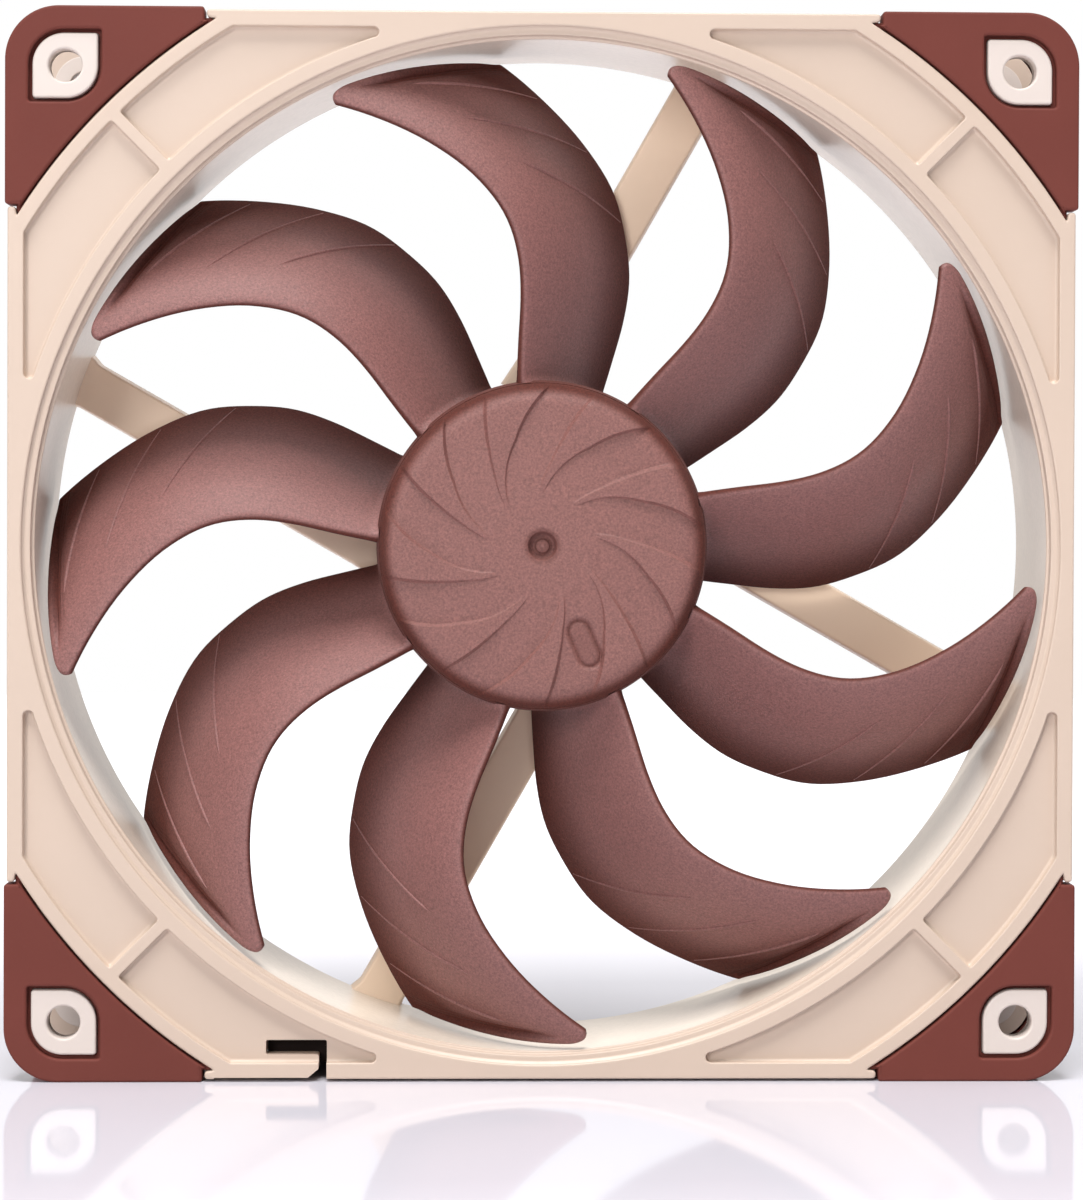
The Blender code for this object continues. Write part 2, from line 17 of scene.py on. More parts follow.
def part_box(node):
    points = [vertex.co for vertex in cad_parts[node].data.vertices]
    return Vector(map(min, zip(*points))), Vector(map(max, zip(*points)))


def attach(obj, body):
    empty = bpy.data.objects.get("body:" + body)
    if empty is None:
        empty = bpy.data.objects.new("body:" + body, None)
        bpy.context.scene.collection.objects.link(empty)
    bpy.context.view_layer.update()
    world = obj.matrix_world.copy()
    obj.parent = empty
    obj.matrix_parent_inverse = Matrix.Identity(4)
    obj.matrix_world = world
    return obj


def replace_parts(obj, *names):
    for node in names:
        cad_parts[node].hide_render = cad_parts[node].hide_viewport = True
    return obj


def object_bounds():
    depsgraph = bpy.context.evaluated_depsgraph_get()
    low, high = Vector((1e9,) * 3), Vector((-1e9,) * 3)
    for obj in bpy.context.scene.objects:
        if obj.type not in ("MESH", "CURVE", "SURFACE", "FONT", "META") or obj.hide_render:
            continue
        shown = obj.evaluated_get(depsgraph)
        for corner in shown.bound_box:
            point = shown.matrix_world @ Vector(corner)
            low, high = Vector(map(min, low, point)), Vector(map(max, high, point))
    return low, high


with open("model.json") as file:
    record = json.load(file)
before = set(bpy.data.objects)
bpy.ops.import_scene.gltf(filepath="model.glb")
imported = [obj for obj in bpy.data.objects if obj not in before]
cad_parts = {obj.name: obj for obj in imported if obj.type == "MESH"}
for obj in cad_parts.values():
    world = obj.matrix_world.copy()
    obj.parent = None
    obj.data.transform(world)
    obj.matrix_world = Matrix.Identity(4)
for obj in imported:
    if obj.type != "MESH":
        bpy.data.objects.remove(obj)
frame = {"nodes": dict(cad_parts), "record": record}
CAD_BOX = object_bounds()

MM = 0.001

# Sizes that the frame gives, in millimetres
PAD_LOW, PAD_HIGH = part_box("pad_front_top_right")
HALF = PAD_HIGH[0] / MM
FACE = -PAD_LOW[1] / MM  # the pads' front face
FRAME_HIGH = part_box("frame")[1]
SIDE = FRAME_HIGH[0] / MM
FACE_Z = FRAME_HIGH[1] / MM

# The fan's other driving sizes; a size that the solids have too has the same value
HOLE_XY = 62.25
HOLE_R = 2.15
FLANGE_T = 3.5
FLANGE_Z = FACE_Z - FLANGE_T
DUCT_R = 66.3
DUCT_OUTER_R = 68.3
DUCT_TOP_Z = 10.6
DUCT_LOW_Z = -11.9
DUCT_ROUND = 0.16
INLET_R = 67.8
INLET_TOP_Z = 11.9
INLET_LEDGE_Z = 11.6
INLET_LOW_Z = 10.3
REAR_OPENING_R = DUCT_R + 0.4
FACE_ARC_R = 80.7
HOOK_END = 43.9
HOOK_IN = 68.5
GAP = 0.3
POCKET_IN_R = 69.8
POCKET_OUT_R = 78.8
POCKET_RIM = 2.1
POCKET_DEPTH = 1.2
POCKET_EDGE_R = 0.16
POCKET_FLOOR_R = 0.42
POCKET_CORNER_R = 0.8
POCKET_START_DEG = 18.6
RIB_HALF = 0.78
PAD_PLATE_T = 1.7
PAD_SKIRT_T = 1.6
PAD_CORNER_R = 7.0
PAD_STEP = 68.2
BOSS = 8.5
BOSS_OPENING = 9.5
BOSS_SUNK = 0.4
STRUT_DEG = 60.3
STRUT_OFFSET = 11.9
STRUT_W = 6.8
STRUT_FRONT_Z = -9.0
STRUT_REAR_Z = -12.2
BASE_R = 21.5
BASE_FRONT_Z = -9.6
LABEL_R = 18.1
LABEL_RECESS = 0.75
HUB_R = 21.5
HUB_WALL = 1.6
HUB_FRONT = 1.9
HUB_SKIRT_Z = -8.6
BLADES = 9
BLADE_PITCH = 360 / BLADES

# Blade stations: radius, leading and trailing edge angle, and how far each edge lies
# behind the pad face. They are the solids' own up to 60 mm. Past that the solids have
# two stations, which cut the tip's leading corner off, and end at 65.4 mm. Here one
# station carries the blade on to 65.5 mm, and tip_trim() rounds that corner.
BLADE_STATIONS = (
    (20.7, 19.0, -12.6, 4.6, 20.2),
    (26.5, 16.9, -11.4, 3.8, 20.1),
    (32.5, 15.2, -10.3, 3.1, 20.0),
    (38.0, 15.0, -8.5, 2.6, 20.0),
    (43.5, 16.6, -5.3, 2.3, 20.0),
    (49.0, 20.4, -1.6, 2.0, 19.8),
    (54.5, 25.6, 3.7, 1.8, 19.5),
    (60.0, 31.4, 9.4, 1.7, 19.2),
    (65.5, 37.4, 15.0, 1.7, 18.7),
)

# Faces that meet at more than this angle, in degrees, keep a sharp edge
SHARP_DEG = 32
ROTOR_SHARP_DEG = 40
ROUND_STEPS = 4
FLAT_BAND = 0.05  # a narrow flat band between a plate's face and its rounded edge


# ------------------------------------------------------------------- materials


# A Mix node's sockets go by number, because their names repeat for each data type
MIX_FACTOR = 0
FLOAT_A, FLOAT_B = 2, 3
COLOUR_A, COLOUR_B = 6, 7
FLOAT_RESULT, COLOUR_RESULT = 0, 2


def node(tree, kind, **values):
    made = tree.nodes.new(kind)
    for name, value in values.items():
        setattr(made, name, value)
    return made


def shader_material(name, colour, roughness, metallic=0.0, specular=0.5):
    mat = bpy.data.materials.new(name)
    mat.use_nodes = True
    shader = mat.node_tree.nodes["Principled BSDF"]
    shader.inputs["Base Color"].default_value = (*colour, 1)
    shader.inputs["Roughness"].default_value = roughness
    shader.inputs["Metallic"].default_value = metallic
    shader.inputs["Specular IOR Level"].default_value = specular
    return mat, mat.node_tree, shader


def object_noise(tree, scale, detail=4.0, rough=0.6):
    """Noise fixed to the object, with its scale in features per metre."""
    coords = node(tree, "ShaderNodeTexCoord")
    noise = node(tree, "ShaderNodeTexNoise")
    noise.inputs["Scale"].default_value = scale
    noise.inputs["Detail"].default_value = detail
    noise.inputs["Roughness"].default_value = rough
    tree.links.new(coords.outputs["Object"], noise.inputs["Vector"])
    return noise


def as_colour(value):
    """A ramp's colour from an RGB colour or from a grey."""
    return (value, value, value, 1) if isinstance(value, float) else (*value, 1)


def ramp(tree, source, low, high, start=0.3, end=0.7):
    """Blends two colours, or two greys, by a noise value."""
    made = node(tree, "ShaderNodeValToRGB")
    for element, place, value in zip(made.color_ramp.elements, (start, end), (low, high)):
        element.position = place
        element.color = as_colour(value)
    tree.links.new(source.outputs[0], made.inputs[0])
    return made


def add_bump(tree, shader, source, strength, distance):
    bump = node(tree, "ShaderNodeBump")
    bump.inputs["Strength"].default_value = strength
    bump.inputs["Distance"].default_value = distance
    tree.links.new(source.outputs[0], bump.inputs["Height"])
    tree.links.new(bump.outputs[0], shader.inputs["Normal"])


def moulded(name, colour, roughness, spread=0.06, grain=2600, bump=0.12, specular=0.5):
    """Moulded plastic: faint colour drift, fine spark-eroded grain and uneven gloss."""
    mat, tree, shader = shader_material(name, colour, roughness, specular=specular)
    drift = object_noise(tree, 45, 3)
    dark = tuple(c * (1 - spread) for c in colour)
    light = tuple(min(1.0, c * (1 + spread)) for c in colour)
    tree.links.new(ramp(tree, drift, dark, light).outputs[0], shader.inputs["Base Color"])
    fine = object_noise(tree, grain, 2)
    gloss = ramp(tree, fine, roughness * 0.9, min(1.0, roughness * 1.12))
    tree.links.new(gloss.outputs[0], shader.inputs["Roughness"])
    add_bump(tree, shader, fine, bump, 0.00003)
    return mat


# How a moulded surface varies: colour drift, grains per metre, bump and gloss
EVEN = {"spread": 0.015, "grain": 1800, "bump": 0.10}
WARM = {"spread": 0.03, "grain": 1800, "bump": 0.10}
SPECKLED = {"spread": 0.06, "grain": 1300, "bump": 0.5}
SOFT = {"spread": 0.06, "grain": 3000, "bump": 0.25, "specular": 0.15}
MATT = {"spread": 0.2, "grain": 2800, "bump": 0.2, "specular": 0.1}
PAPER = {"spread": 0.02, "grain": 900, "bump": 0.05}
BEIGE = moulded("beige_plastic", (0.555, 0.436, 0.352), 0.40, **EVEN)
# The duct's inner wall is a lighter, greyer beige than the frame's own: painted reflection of the
# bright studio at grazing angles, warmed for the blades' brown reflection
DUCT_WALL_PAINTED_REFLECTION = moulded("beige_duct_wall_painted_reflection", (0.81, 0.71, 0.60), 0.24, **SPECKLED)
# The struts' beige is lighter and warmer than the frame's own: painted light with a warm bounce, on
# struts that sit in the blades' shade
STRUT_PAINTED_LIGHT = moulded("beige_strut_painted_light", (0.74, 0.565, 0.415), 0.45, **WARM)
PALE = moulded("pale_boss_plastic", (0.615, 0.535, 0.485), 0.42, **EVEN)
RUBBER = moulded("brown_rubber", (0.140, 0.036, 0.027), 0.6, **SOFT)
BLACK_RUBBER = moulded("black_rubber_matt", (0.010, 0.006, 0.005), 0.7, **MATT)
LABEL = moulded("label_paper", (0.70, 0.58, 0.46), 0.35, **PAPER)

# Painted shade at a depth of 1 on fibre-filled plastic: the tint that the colour is multiplied by, and
# the roughness there
PAINTED_SHADE_TINT = (0.40, 0.20, 0.14, 1)
SHADE_MASK_ROUGHNESS = 0.9


def fibre_filled(name, colour):
    """Fibre-filled plastic: satin, with a fine mottle in its colour, gloss and surface.

    The mesh's depth attribute paints shade into the colour, darker and redder, and dulls the gloss:
    toward the thin edges, the hub's rim and its hollows.
    """
    mat, tree, shader = shader_material(name, colour, 0.5, specular=0.42)
    mottle = object_noise(tree, 3200, 5, 0.8)
    dark = tuple(c * 0.6 for c in colour)
    light = tuple(c * 1.44 for c in colour)
    speckled = ramp(tree, mottle, dark, light, 0.32, 0.68)
    # painted shade: the depth attribute multiplies the colour toward a dark red tint and raises the
    # roughness
    depth = node(tree, "ShaderNodeAttribute")
    depth.attribute_name = "depth"
    painted_shade_mix = node(tree, "ShaderNodeMix", data_type="RGBA", blend_type="MULTIPLY")
    painted_shade_mix.inputs[COLOUR_B].default_value = PAINTED_SHADE_TINT
    tree.links.new(depth.outputs["Fac"], painted_shade_mix.inputs[MIX_FACTOR])
    tree.links.new(speckled.outputs[0], painted_shade_mix.inputs[COLOUR_A])
    tree.links.new(painted_shade_mix.outputs[COLOUR_RESULT], shader.inputs["Base Color"])
    fine = object_noise(tree, 3000, 4, 0.75)
    gloss = node(tree, "ShaderNodeMix", data_type="FLOAT")
    gloss.inputs[FLOAT_B].default_value = SHADE_MASK_ROUGHNESS
    tree.links.new(depth.outputs["Fac"], gloss.inputs[MIX_FACTOR])
    tree.links.new(ramp(tree, fine, 0.38, 0.56).outputs[0], gloss.inputs[FLOAT_A])
    tree.links.new(gloss.outputs[FLOAT_RESULT], shader.inputs["Roughness"])
    add_bump(tree, shader, fine, 0.8, 0.00012)
    return mat


BROWN = fibre_filled("brown_plastic", (0.205, 0.086, 0.074))
BLADE_BROWN = fibre_filled("brown_blade_plastic", (0.214, 0.092, 0.083))


# --------------------------------------------------------------- modelling tools


def at(x, y, z):
    return Vector((x * MM, -z * MM, y * MM))


def face_outward(bm):
    bmesh.ops.recalc_face_normals(bm, faces=bm.faces)
    if bm.calc_volume(signed=True) < 0:
        bmesh.ops.reverse_faces(bm, faces=bm.faces)


def set_shading(mesh, angle=SHARP_DEG):
    mesh.shade_smooth()
    mesh.set_sharp_from_angle(angle=math.radians(angle))


def finish_mesh(name, bm, mat, angle=SHARP_DEG, body="housing"):
    face_outward(bm)
    mesh = bpy.data.meshes.new(name)
    bm.to_mesh(mesh)
    bm.free()
    mesh.materials.append(mat)
    set_shading(mesh, angle)
    ob = bpy.data.objects.new(name, mesh)
    bpy.context.scene.collection.objects.link(ob)
    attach(ob, body)
    return ob


def arc(centre, radius, start, end, steps):
    points = []
    for i in range(steps + 1):
        angle = math.radians(start + (end - start) * i / steps)
        points.append((centre[0] + radius * math.cos(angle), centre[1] + radius * math.sin(angle)))
    return points


def circle(radius, steps, centre=(0.0, 0.0)):
    return arc(centre, radius, 0, 360 - 360 / steps, steps - 1)


def mirrored(outline, sx, sy):
    flipped = [(x * sx, y * sy) for x, y in outline]
    return flipped if sx * sy > 0 else flipped[::-1]


def area(loop):
    return 0.5 * sum(a[0] * b[1] - b[0] * a[1] for a, b in zip(loop, loop[1:] + loop[:1]))


def corner_flags(loop, turn_over=25):
    """Which points of a closed outline are sharp corners."""
    flags = []
    for i in range(len(loop)):
        p, q, r = Vector(loop[i - 1]), Vector(loop[i]), Vector(loop[(i + 1) % len(loop)])
        flags.append(math.degrees((q - p).angle(r - q)) > turn_over)
    return flags


def round_corner(start, corner, end, steps):
    """Points on the curve from start to end that a corner pulls toward itself."""
    points = []
    for k in range(steps + 1):
        t = k / steps
        point = start * (1 - t) ** 2 + corner * 2 * t * (1 - t) + end * t**2
        points.append((point.x, point.y))
    return points


def fillet(loop, radius, moved=0.0, flags=None):
    """Rounds a closed outline's sharp corners, as seen after it has moved to its left."""
    flags = flags or corner_flags(loop)
    rounded = []
    for i, sharp in enumerate(flags):
        if not sharp:
            rounded.append(loop[i])
            continue
        p, q, r = Vector(loop[i - 1]), Vector(loop[i]), Vector(loop[(i + 1) % len(loop)])
        a, b = (p - q).normalized(), (r - q).normalized()
        left_turn = (q - p).cross(r - q) > 0
        size = max(0.03, radius - moved if left_turn else radius + moved)
        reach = size / math.tan(a.angle(b) / 2)
        reach = min(reach, (p - q).length * 0.48, (r - q).length * 0.48)
        rounded += round_corner(q + a * reach, q, q + b * reach, ROUND_STEPS)
    return rounded


def inset(loop, distance, radius=0.0):
    """Moves a closed outline to its own left by a distance, then rounds its corners."""
    moved = []
    count = len(loop)
    for i in range(count):
        p, q, r = Vector(loop[i - 1]), Vector(loop[i]), Vector(loop[(i + 1) % count])
        a, b = (q - p).normalized(), (r - q).normalized()
        na, nb = Vector((-a.y, a.x)), Vector((-b.y, b.x))
        middle = (na + nb).normalized()
        scale = distance / max(0.5, middle.dot(na))
        moved.append((q.x + middle.x * scale, q.y + middle.y * scale))
    return fillet(moved, radius, distance, corner_flags(loop)) if radius else moved


def add_ring(bm, loop, z):
    return [bm.verts.new(at(x, y, z)) for x, y in loop]


def add_strip(bm, ring_a, ring_b):
    count = len(ring_a)
    for i in range(count):
        j = (i + 1) % count
        bm.faces.new((ring_a[i], ring_a[j], ring_b[j], ring_b[i]))


def add_strips(bm, rings):
    for a, b in zip(rings, rings[1:]):
        add_strip(bm, a, b)


def add_cap(bm, rings):
    """Fills between closed rings that lie in one plane, the first one being the outside."""
    flat = [v for ring in rings for v in ring]
    loops = [[(v.co.x / MM, v.co.z / MM) for v in ring] for ring in rings]
    wanted = abs(area(loops[0])) - sum(abs(area(loop)) for loop in loops[1:])
    places = [point for loop in loops for point in loop]
    for turn in (0.31, 0.74, 1.13, 1.9, 2.6):
        c, s = math.cos(turn), math.sin(turn)
        turned = [[Vector((x * c - y * s, x * s + y * c, 0)) for x, y in loop] for loop in loops]
        triangles = tessellate_polygon(turned)
        filled = sum(abs(area([places[i] for i in tri])) for tri in triangles)
        if abs(filled - wanted) < 0.002 * wanted:
            break
    for tri in triangles:
        try:
            bm.faces.new([flat[i] for i in tri])
        except ValueError:
            pass


def quarter_round():
    """(far, near) pairs along a unit quarter round: far falls to 0 as near rises to 1."""
    turns = [math.pi / 2 * k / ROUND_STEPS for k in range(ROUND_STEPS + 1)]
    return [(1 - math.sin(a), 1 - math.cos(a)) for a in turns]


def edge_profile(z_top, z_bottom, r_top, r_bottom):
    """(inset, z) pairs down one side of a plate, with both edges rounded."""
    side = [(r_top + FLAT_BAND, z_top)]
    side += [(r_top * far, z_top - r_top * near) for far, near in quarter_round()]
    side += [(r_bottom * near, z_bottom + r_bottom * far) for far, near in quarter_round()]
    side.append((r_bottom + FLAT_BAND, z_bottom))
    return side


def pocket_profile(z_top):
    """(inset into the pocket, z) pairs from the face down to the pocket's floor."""
    floor_z = z_top - POCKET_DEPTH
    r_edge, r_floor = POCKET_EDGE_R, POCKET_FLOOR_R
    side = [(-r_edge - 2 * FLAT_BAND, z_top)]
    side += [(-r_edge * far, z_top - r_edge * near) for far, near in quarter_round()]
    side += [(r_floor * near, floor_z + r_floor * far) for far, near in quarter_round()]
    side.append((r_floor + 2 * FLAT_BAND, floor_z))
    return side


def add_plate(bm, outer, holes, z_top, z_bottom, r_top, r_bottom, pockets=(), corner=0.5):
    """A flat plate with rounded edges and corners, through holes and shallow pockets."""
    tops, bottoms = [], []
    for loop, is_outer in [(outer, True)] + [(h, False) for h in holes]:
        loop = loop if (area(loop) > 0) == is_outer else loop[::-1]
        side = edge_profile(z_top, z_bottom, r_top, r_bottom)
        rings = [add_ring(bm, inset(loop, d, corner), z) for d, z in side]
        add_strips(bm, rings)
        tops.append(rings[0])
        bottoms.append(rings[-1])
    for loop in pockets:
        loop = loop if area(loop) > 0 else loop[::-1]
        rings = [add_ring(bm, inset(loop, d, POCKET_CORNER_R), z) for d, z in pocket_profile(z_top)]
        add_strips(bm, rings)
        tops.append(rings[0])
        add_cap(bm, [rings[-1]])
    add_cap(bm, tops)
    add_cap(bm, bottoms)


def add_turned(bm, profile, steps):
    """A closed profile of (radius, z) turned about the rotor axis."""
    rings = []
    for radius, z in profile:
        rings.append(add_ring(bm, circle(radius, steps) if radius else [(0, 0)], z))
    for a, b in zip(rings, rings[1:] + rings[:1]):
        if len(a) == 1 and len(b) == 1:
            continue
        for i in range(steps):
            j = (i + 1) % steps
            if len(a) == 1:
                bm.faces.new((a[0], b[j], b[i]))
            elif len(b) == 1:
                bm.faces.new((a[i], a[j], b[0]))
            else:
                bm.faces.new((a[i], a[j], b[j], b[i]))


def rounded_profile(points, radius):
    """Rounds every corner of a closed (radius, z) profile that doesn't touch the axis."""
    result = []
    count = len(points)
    for i in range(count):
        p, q, r = Vector(points[i - 1]), Vector(points[i]), Vector(points[(i + 1) % count])
        if q.x == 0:
            result.append((q.x, q.y))
            continue
        a, b = (p - q), (r - q)
        reach_a, reach_b = min(radius, a.length * 0.4), min(radius, b.length * 0.4)
        a.normalize()
        b.normalize()
        result += round_corner(q + a * reach_a, q, q + b * reach_b, 3)
    return result


def cut(ob, cutter):
    """Cuts a cutter out of a piece and removes it."""
    mod = ob.modifiers.new("cut", "BOOLEAN")
    mod.operation = "DIFFERENCE"
    mod.solver = "MANIFOLD"
    mod.object = cutter
    bpy.context.view_layer.update()
    graph = bpy.context.evaluated_depsgraph_get()
    mesh = bpy.data.meshes.new_from_object(ob.evaluated_get(graph))
    ob.modifiers.clear()
    ob.data = mesh
    bpy.data.objects.remove(cutter, do_unlink=True)
    set_shading(ob.data)


def prism_cutter(loop, low, high):
    """A prism on an outline, to be cut out of a piece."""
    bm = bmesh.new()
    loop = loop if area(loop) > 0 else loop[::-1]
    a, b = add_ring(bm, loop, low), add_ring(bm, loop, high)
    add_strip(bm, a, b)
    add_cap(bm, [a])
    add_cap(bm, [b])
    face_outward(bm)
    mesh = bpy.data.meshes.new("cutter")
    bm.to_mesh(mesh)
    bm.free()
    ob = bpy.data.objects.new("cutter", mesh)
    bpy.context.scene.collection.objects.link(ob)
    return ob


# ------------------------------------------------------------------------ frame


# The lead's slot in the front flange, and the shallow step in the bottom edge beside it
LEAD_SLOT = (
    (-35.97, -64.7),
    (-28.0, -64.7),
    (-28.0, -71.0),
    (-30.4, -71.0),
    (-30.4, -69.4),
    (-29.05, -68.3),
    (-29.05, -66.6),
    (-35.97, -66.6),
)
EDGE_STEP = ((-43.4, -71.0), (-42.6, -69.45), (-30.2, -69.45), (-30.2, -71.0))
# Along a strut, from its nearest point to the axis: distance, and flare on each side
STRUT_STATIONS = (
    (16.6, 0.3),
    (18.0, 0.2),
    (21.0, 0.0),
    (30, 0),
    (40, 0),
    (50, 0),
    (60, 0),
    (64.0, 0.0),
    (64.6, 0.12),
    (65.1, 0.35),
)
STRUT_END_FLARE = 0.8
STRUT_DRAFT = 0.35
STRUT_ROUND = 0.45
DUCT_STEPS = 540
OPENING_STEPS = 300
FACE_ROUND = 0.28
BACK_ROUND = 0.2


def frame_outline():
    """The face's outline: an arc across each corner, with a small hook at both its ends."""
    start = math.degrees(math.acos(HOOK_IN / FACE_ARC_R))
    hook_back = HOOK_IN + 0.15
    quadrant = [(SIDE, HOOK_END), (hook_back, HOOK_END)]
    quadrant += arc((0, 0), FACE_ARC_R, start, 90 - start, 40)
    quadrant += [(HOOK_END, hook_back), (HOOK_END, SIDE)]
    points = []
    for quarter in range(4):
        angle = math.radians(90 * quarter)
        c, s = math.cos(angle), math.sin(angle)
        points += [(x * c - y * s, x * s + y * c) for x, y in quadrant]
    return points


def pocket_outlines():
    """The face's eight shallow pockets, two in each corner with a rib between them."""
    rim_x = SIDE - POCKET_RIM
    rib_in = 45 - math.degrees(RIB_HALF / POCKET_IN_R)
    rib_out = 45 - math.degrees(RIB_HALF / POCKET_OUT_R)
    rim_deg = math.degrees(math.acos(rim_x / POCKET_OUT_R))
    inner = arc((0, 0), POCKET_IN_R, POCKET_START_DEG, rib_in, 28)
    outer = arc((0, 0), POCKET_OUT_R, rib_out, rim_deg, 18)
    start_x, start_y = inner[0]
    end = arc(((start_x + rim_x) / 2, start_y), (rim_x - start_x) / 2, 0, -180, 10)
    octant = inner[1:] + outer + end
    diagonal = [(y, x) for x, y in octant][::-1]
    outlines = []
    for sx in (1, -1):
        for sy in (1, -1):
            outlines += [mirrored(octant, sx, sy), mirrored(diagonal, sx, sy)]
    return outlines


def leaf(size):
    """A boss's outline: a square with two opposite corners rounded."""
    half = size / 2
    radius = half * 0.98
    c = HOLE_XY
    points = [(c + half, c - half)]
    points += arc((c + half - radius,) * 2, radius, 0, 90, 14)
    points += [(c - half, c + half)]
    points += arc((c - half + radius,) * 2, radius, 180, 270, 14)
    return points


def corner_web():
    """The flange under a pad, cut back from the pad's skirt."""
    edge = HALF - PAD_SKIRT_T - GAP
    radius = PAD_CORNER_R - PAD_SKIRT_T - GAP
    inner = 52
    low = HOOK_END + 0.6
    corner = arc((edge - radius,) * 2, radius, 0, 90, 12)
    return [(inner, inner), (edge, low)] + corner + [(low, edge)]


def strut_point(along, across, quarter):
    angle = math.radians(STRUT_DEG + 90 * quarter)
    ux, uy = math.cos(angle), math.sin(angle)
    off = STRUT_OFFSET + across
    return (ux * along - uy * off, uy * along + ux * off)


def add_strut(bm, quarter):
    """A rounded bar from the motor mount to the duct, flaring where it joins the duct."""
    end = math.sqrt((DUCT_R + 1.2) ** 2 - STRUT_OFFSET**2)
    rings = []
    for along, flare in STRUT_STATIONS + ((end, STRUT_END_FLARE),):
        width = STRUT_W / 2 + flare
        front = STRUT_FRONT_Z + flare * 0.25
        section = [(-width, STRUT_REAR_Z), (width, STRUT_REAR_Z)]
        section += [(width - STRUT_DRAFT, front), (-width + STRUT_DRAFT, front)]
        ring = []
        for across, z in fillet(section, STRUT_ROUND):
            x, y = strut_point(along, across, quarter)
            ring.append(bm.verts.new(at(x, y, z)))
        rings.append(ring)
    add_strips(bm, rings)
    bm.faces.new(rings[0])
    bm.faces.new(rings[-1])


def add_duct(bm):
    """The duct's plain wall between the flanges."""
    profile = [(DUCT_OUTER_R, DUCT_TOP_Z), (DUCT_OUTER_R, DUCT_LOW_Z), (REAR_OPENING_R, DUCT_LOW_Z)]
    profile += [(DUCT_R, DUCT_LOW_Z + 0.4)] + [(DUCT_R, -11 + 3.0 * k) for k in range(8)]
    profile += [(DUCT_R, DUCT_TOP_Z)]
    add_turned(bm, rounded_profile(profile, DUCT_ROUND), DUCT_STEPS)


def add_inlet(bm):
    """The inlet's two small steps, between the flange's face and the duct's wall."""
    proud = DUCT_R - 0.02
    low_step = INLET_LOW_Z + 0.45
    profile = [(DUCT_OUTER_R, INLET_TOP_Z), (DUCT_OUTER_R, INLET_LOW_Z)]
    profile += [(proud, INLET_LOW_Z), (proud, low_step)]
    profile += [(DUCT_R + 0.34, low_step + 0.05), (DUCT_R + 0.44, INLET_LEDGE_Z)]
    profile += [(INLET_R - 0.36, INLET_LEDGE_Z), (INLET_R + 0.1, INLET_TOP_Z + 0.15)]
    add_turned(bm, rounded_profile(profile, DUCT_ROUND), DUCT_STEPS)


def build_front_flange():
    bm = bmesh.new()
    inlet = circle(INLET_R, OPENING_STEPS)
    add_plate(bm, frame_outline(), [inlet], FACE_Z, FLANGE_Z, FACE_ROUND, BACK_ROUND, pocket_outlines())
    flange = finish_mesh("frame_front_flange", bm, BEIGE)
    cut(flange, prism_cutter(inset(list(LEAD_SLOT), 0, 0.3), FLANGE_Z - 1, FACE))
    cut(flange, prism_cutter(list(EDGE_STEP), FLANGE_Z - 1, FACE))
    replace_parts(flange, "frame")


def build_duct():
    """The duct is grained inside, where its lighter, greyer beige paints the studio's reflection, and
    as plain as the flanges outside.
    """
    bm = bmesh.new()
    add_duct(bm)
    duct = finish_mesh("frame_duct", bm, DUCT_WALL_PAINTED_REFLECTION)
    duct.data.materials.append(BEIGE)
    for face in duct.data.polygons:
        if math.hypot(face.center.x, face.center.z) > (DUCT_R + 1.0) * MM:
            face.material_index = 1
    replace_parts(duct, "frame")
    bm = bmesh.new()
    add_inlet(bm)
    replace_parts(finish_mesh("frame_inlet", bm, BEIGE), "frame")


def build_rear_flange():
    bm = bmesh.new()
    outlet = circle(REAR_OPENING_R, OPENING_STEPS)
    add_plate(bm, frame_outline(), [outlet], -FLANGE_Z, -FACE_Z, BACK_ROUND, FACE_ROUND)
    rear = finish_mesh("frame_rear_flange", bm, BEIGE)
    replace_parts(rear, "frame")


def build_corners():
    """In each corner, front and rear: the web under the pad, and the pale screw boss."""
    web_top = FACE - PAD_PLATE_T - GAP
    boss_top = FACE - BOSS_SUNK
    webs, bosses = bmesh.new(), bmesh.new()
    for sx in (1, -1):
        for sy in (1, -1):
            hole = circle(HOLE_R, 48, (sx * HOLE_XY, sy * HOLE_XY))
            web = mirrored(corner_web(), sx, sy)
            boss = mirrored(leaf(BOSS), sx, sy)
            add_plate(webs, web, [hole], web_top, FLANGE_Z + 0.05, 0.1, 0.15)
            add_plate(webs, web, [hole], -FLANGE_Z - 0.05, -web_top, 0.15, 0.1)
            add_plate(bosses, boss, [hole], boss_top, FLANGE_Z + 0.02, 0.3, 0.15)
            add_plate(bosses, boss, [hole], -FLANGE_Z - 0.02, -boss_top, 0.15, 0.3)
    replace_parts(finish_mesh("frame_corner_webs", webs, BEIGE), "frame")
    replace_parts(finish_mesh("frame_screw_bosses", bosses, PALE), "frame")


def build_motor_mount():
    """The struts, and the round mount that they carry, with a recess for the label."""
    bm = bmesh.new()
    for quarter in range(4):
        add_strut(bm, quarter)
    struts = finish_mesh("frame_struts", bm, STRUT_PAINTED_LIGHT)
    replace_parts(struts, "frame")

    bm = bmesh.new()
    recess = -FACE_Z + LABEL_RECESS
    dish_z, collar_z = BASE_FRONT_Z - 0.7, BASE_FRONT_Z + 2.4
    collar_in, collar_out = 5.8, 7.3
    base = [(BASE_R, BASE_FRONT_Z), (BASE_R, -FACE_Z), (LABEL_R, -FACE_Z), (LABEL_R, recess)]
    base += [(0, recess), (0, dish_z), (collar_in, dish_z), (collar_in, collar_z)]
    base += [(collar_out, collar_z), (collar_out, BASE_FRONT_Z)]
    add_turned(bm, rounded_profile(base, 0.3), 160)
    mount = finish_mesh("frame_motor_mount", bm, BEIGE)
    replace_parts(mount, "frame")


# ------------------------------------------------------------------------- pads


# Lowest and highest z of the lips and of the tongues on a front pad
LIP_Z = (10.75, 11.2)
TONGUE_Z = (9.2, 11.6)
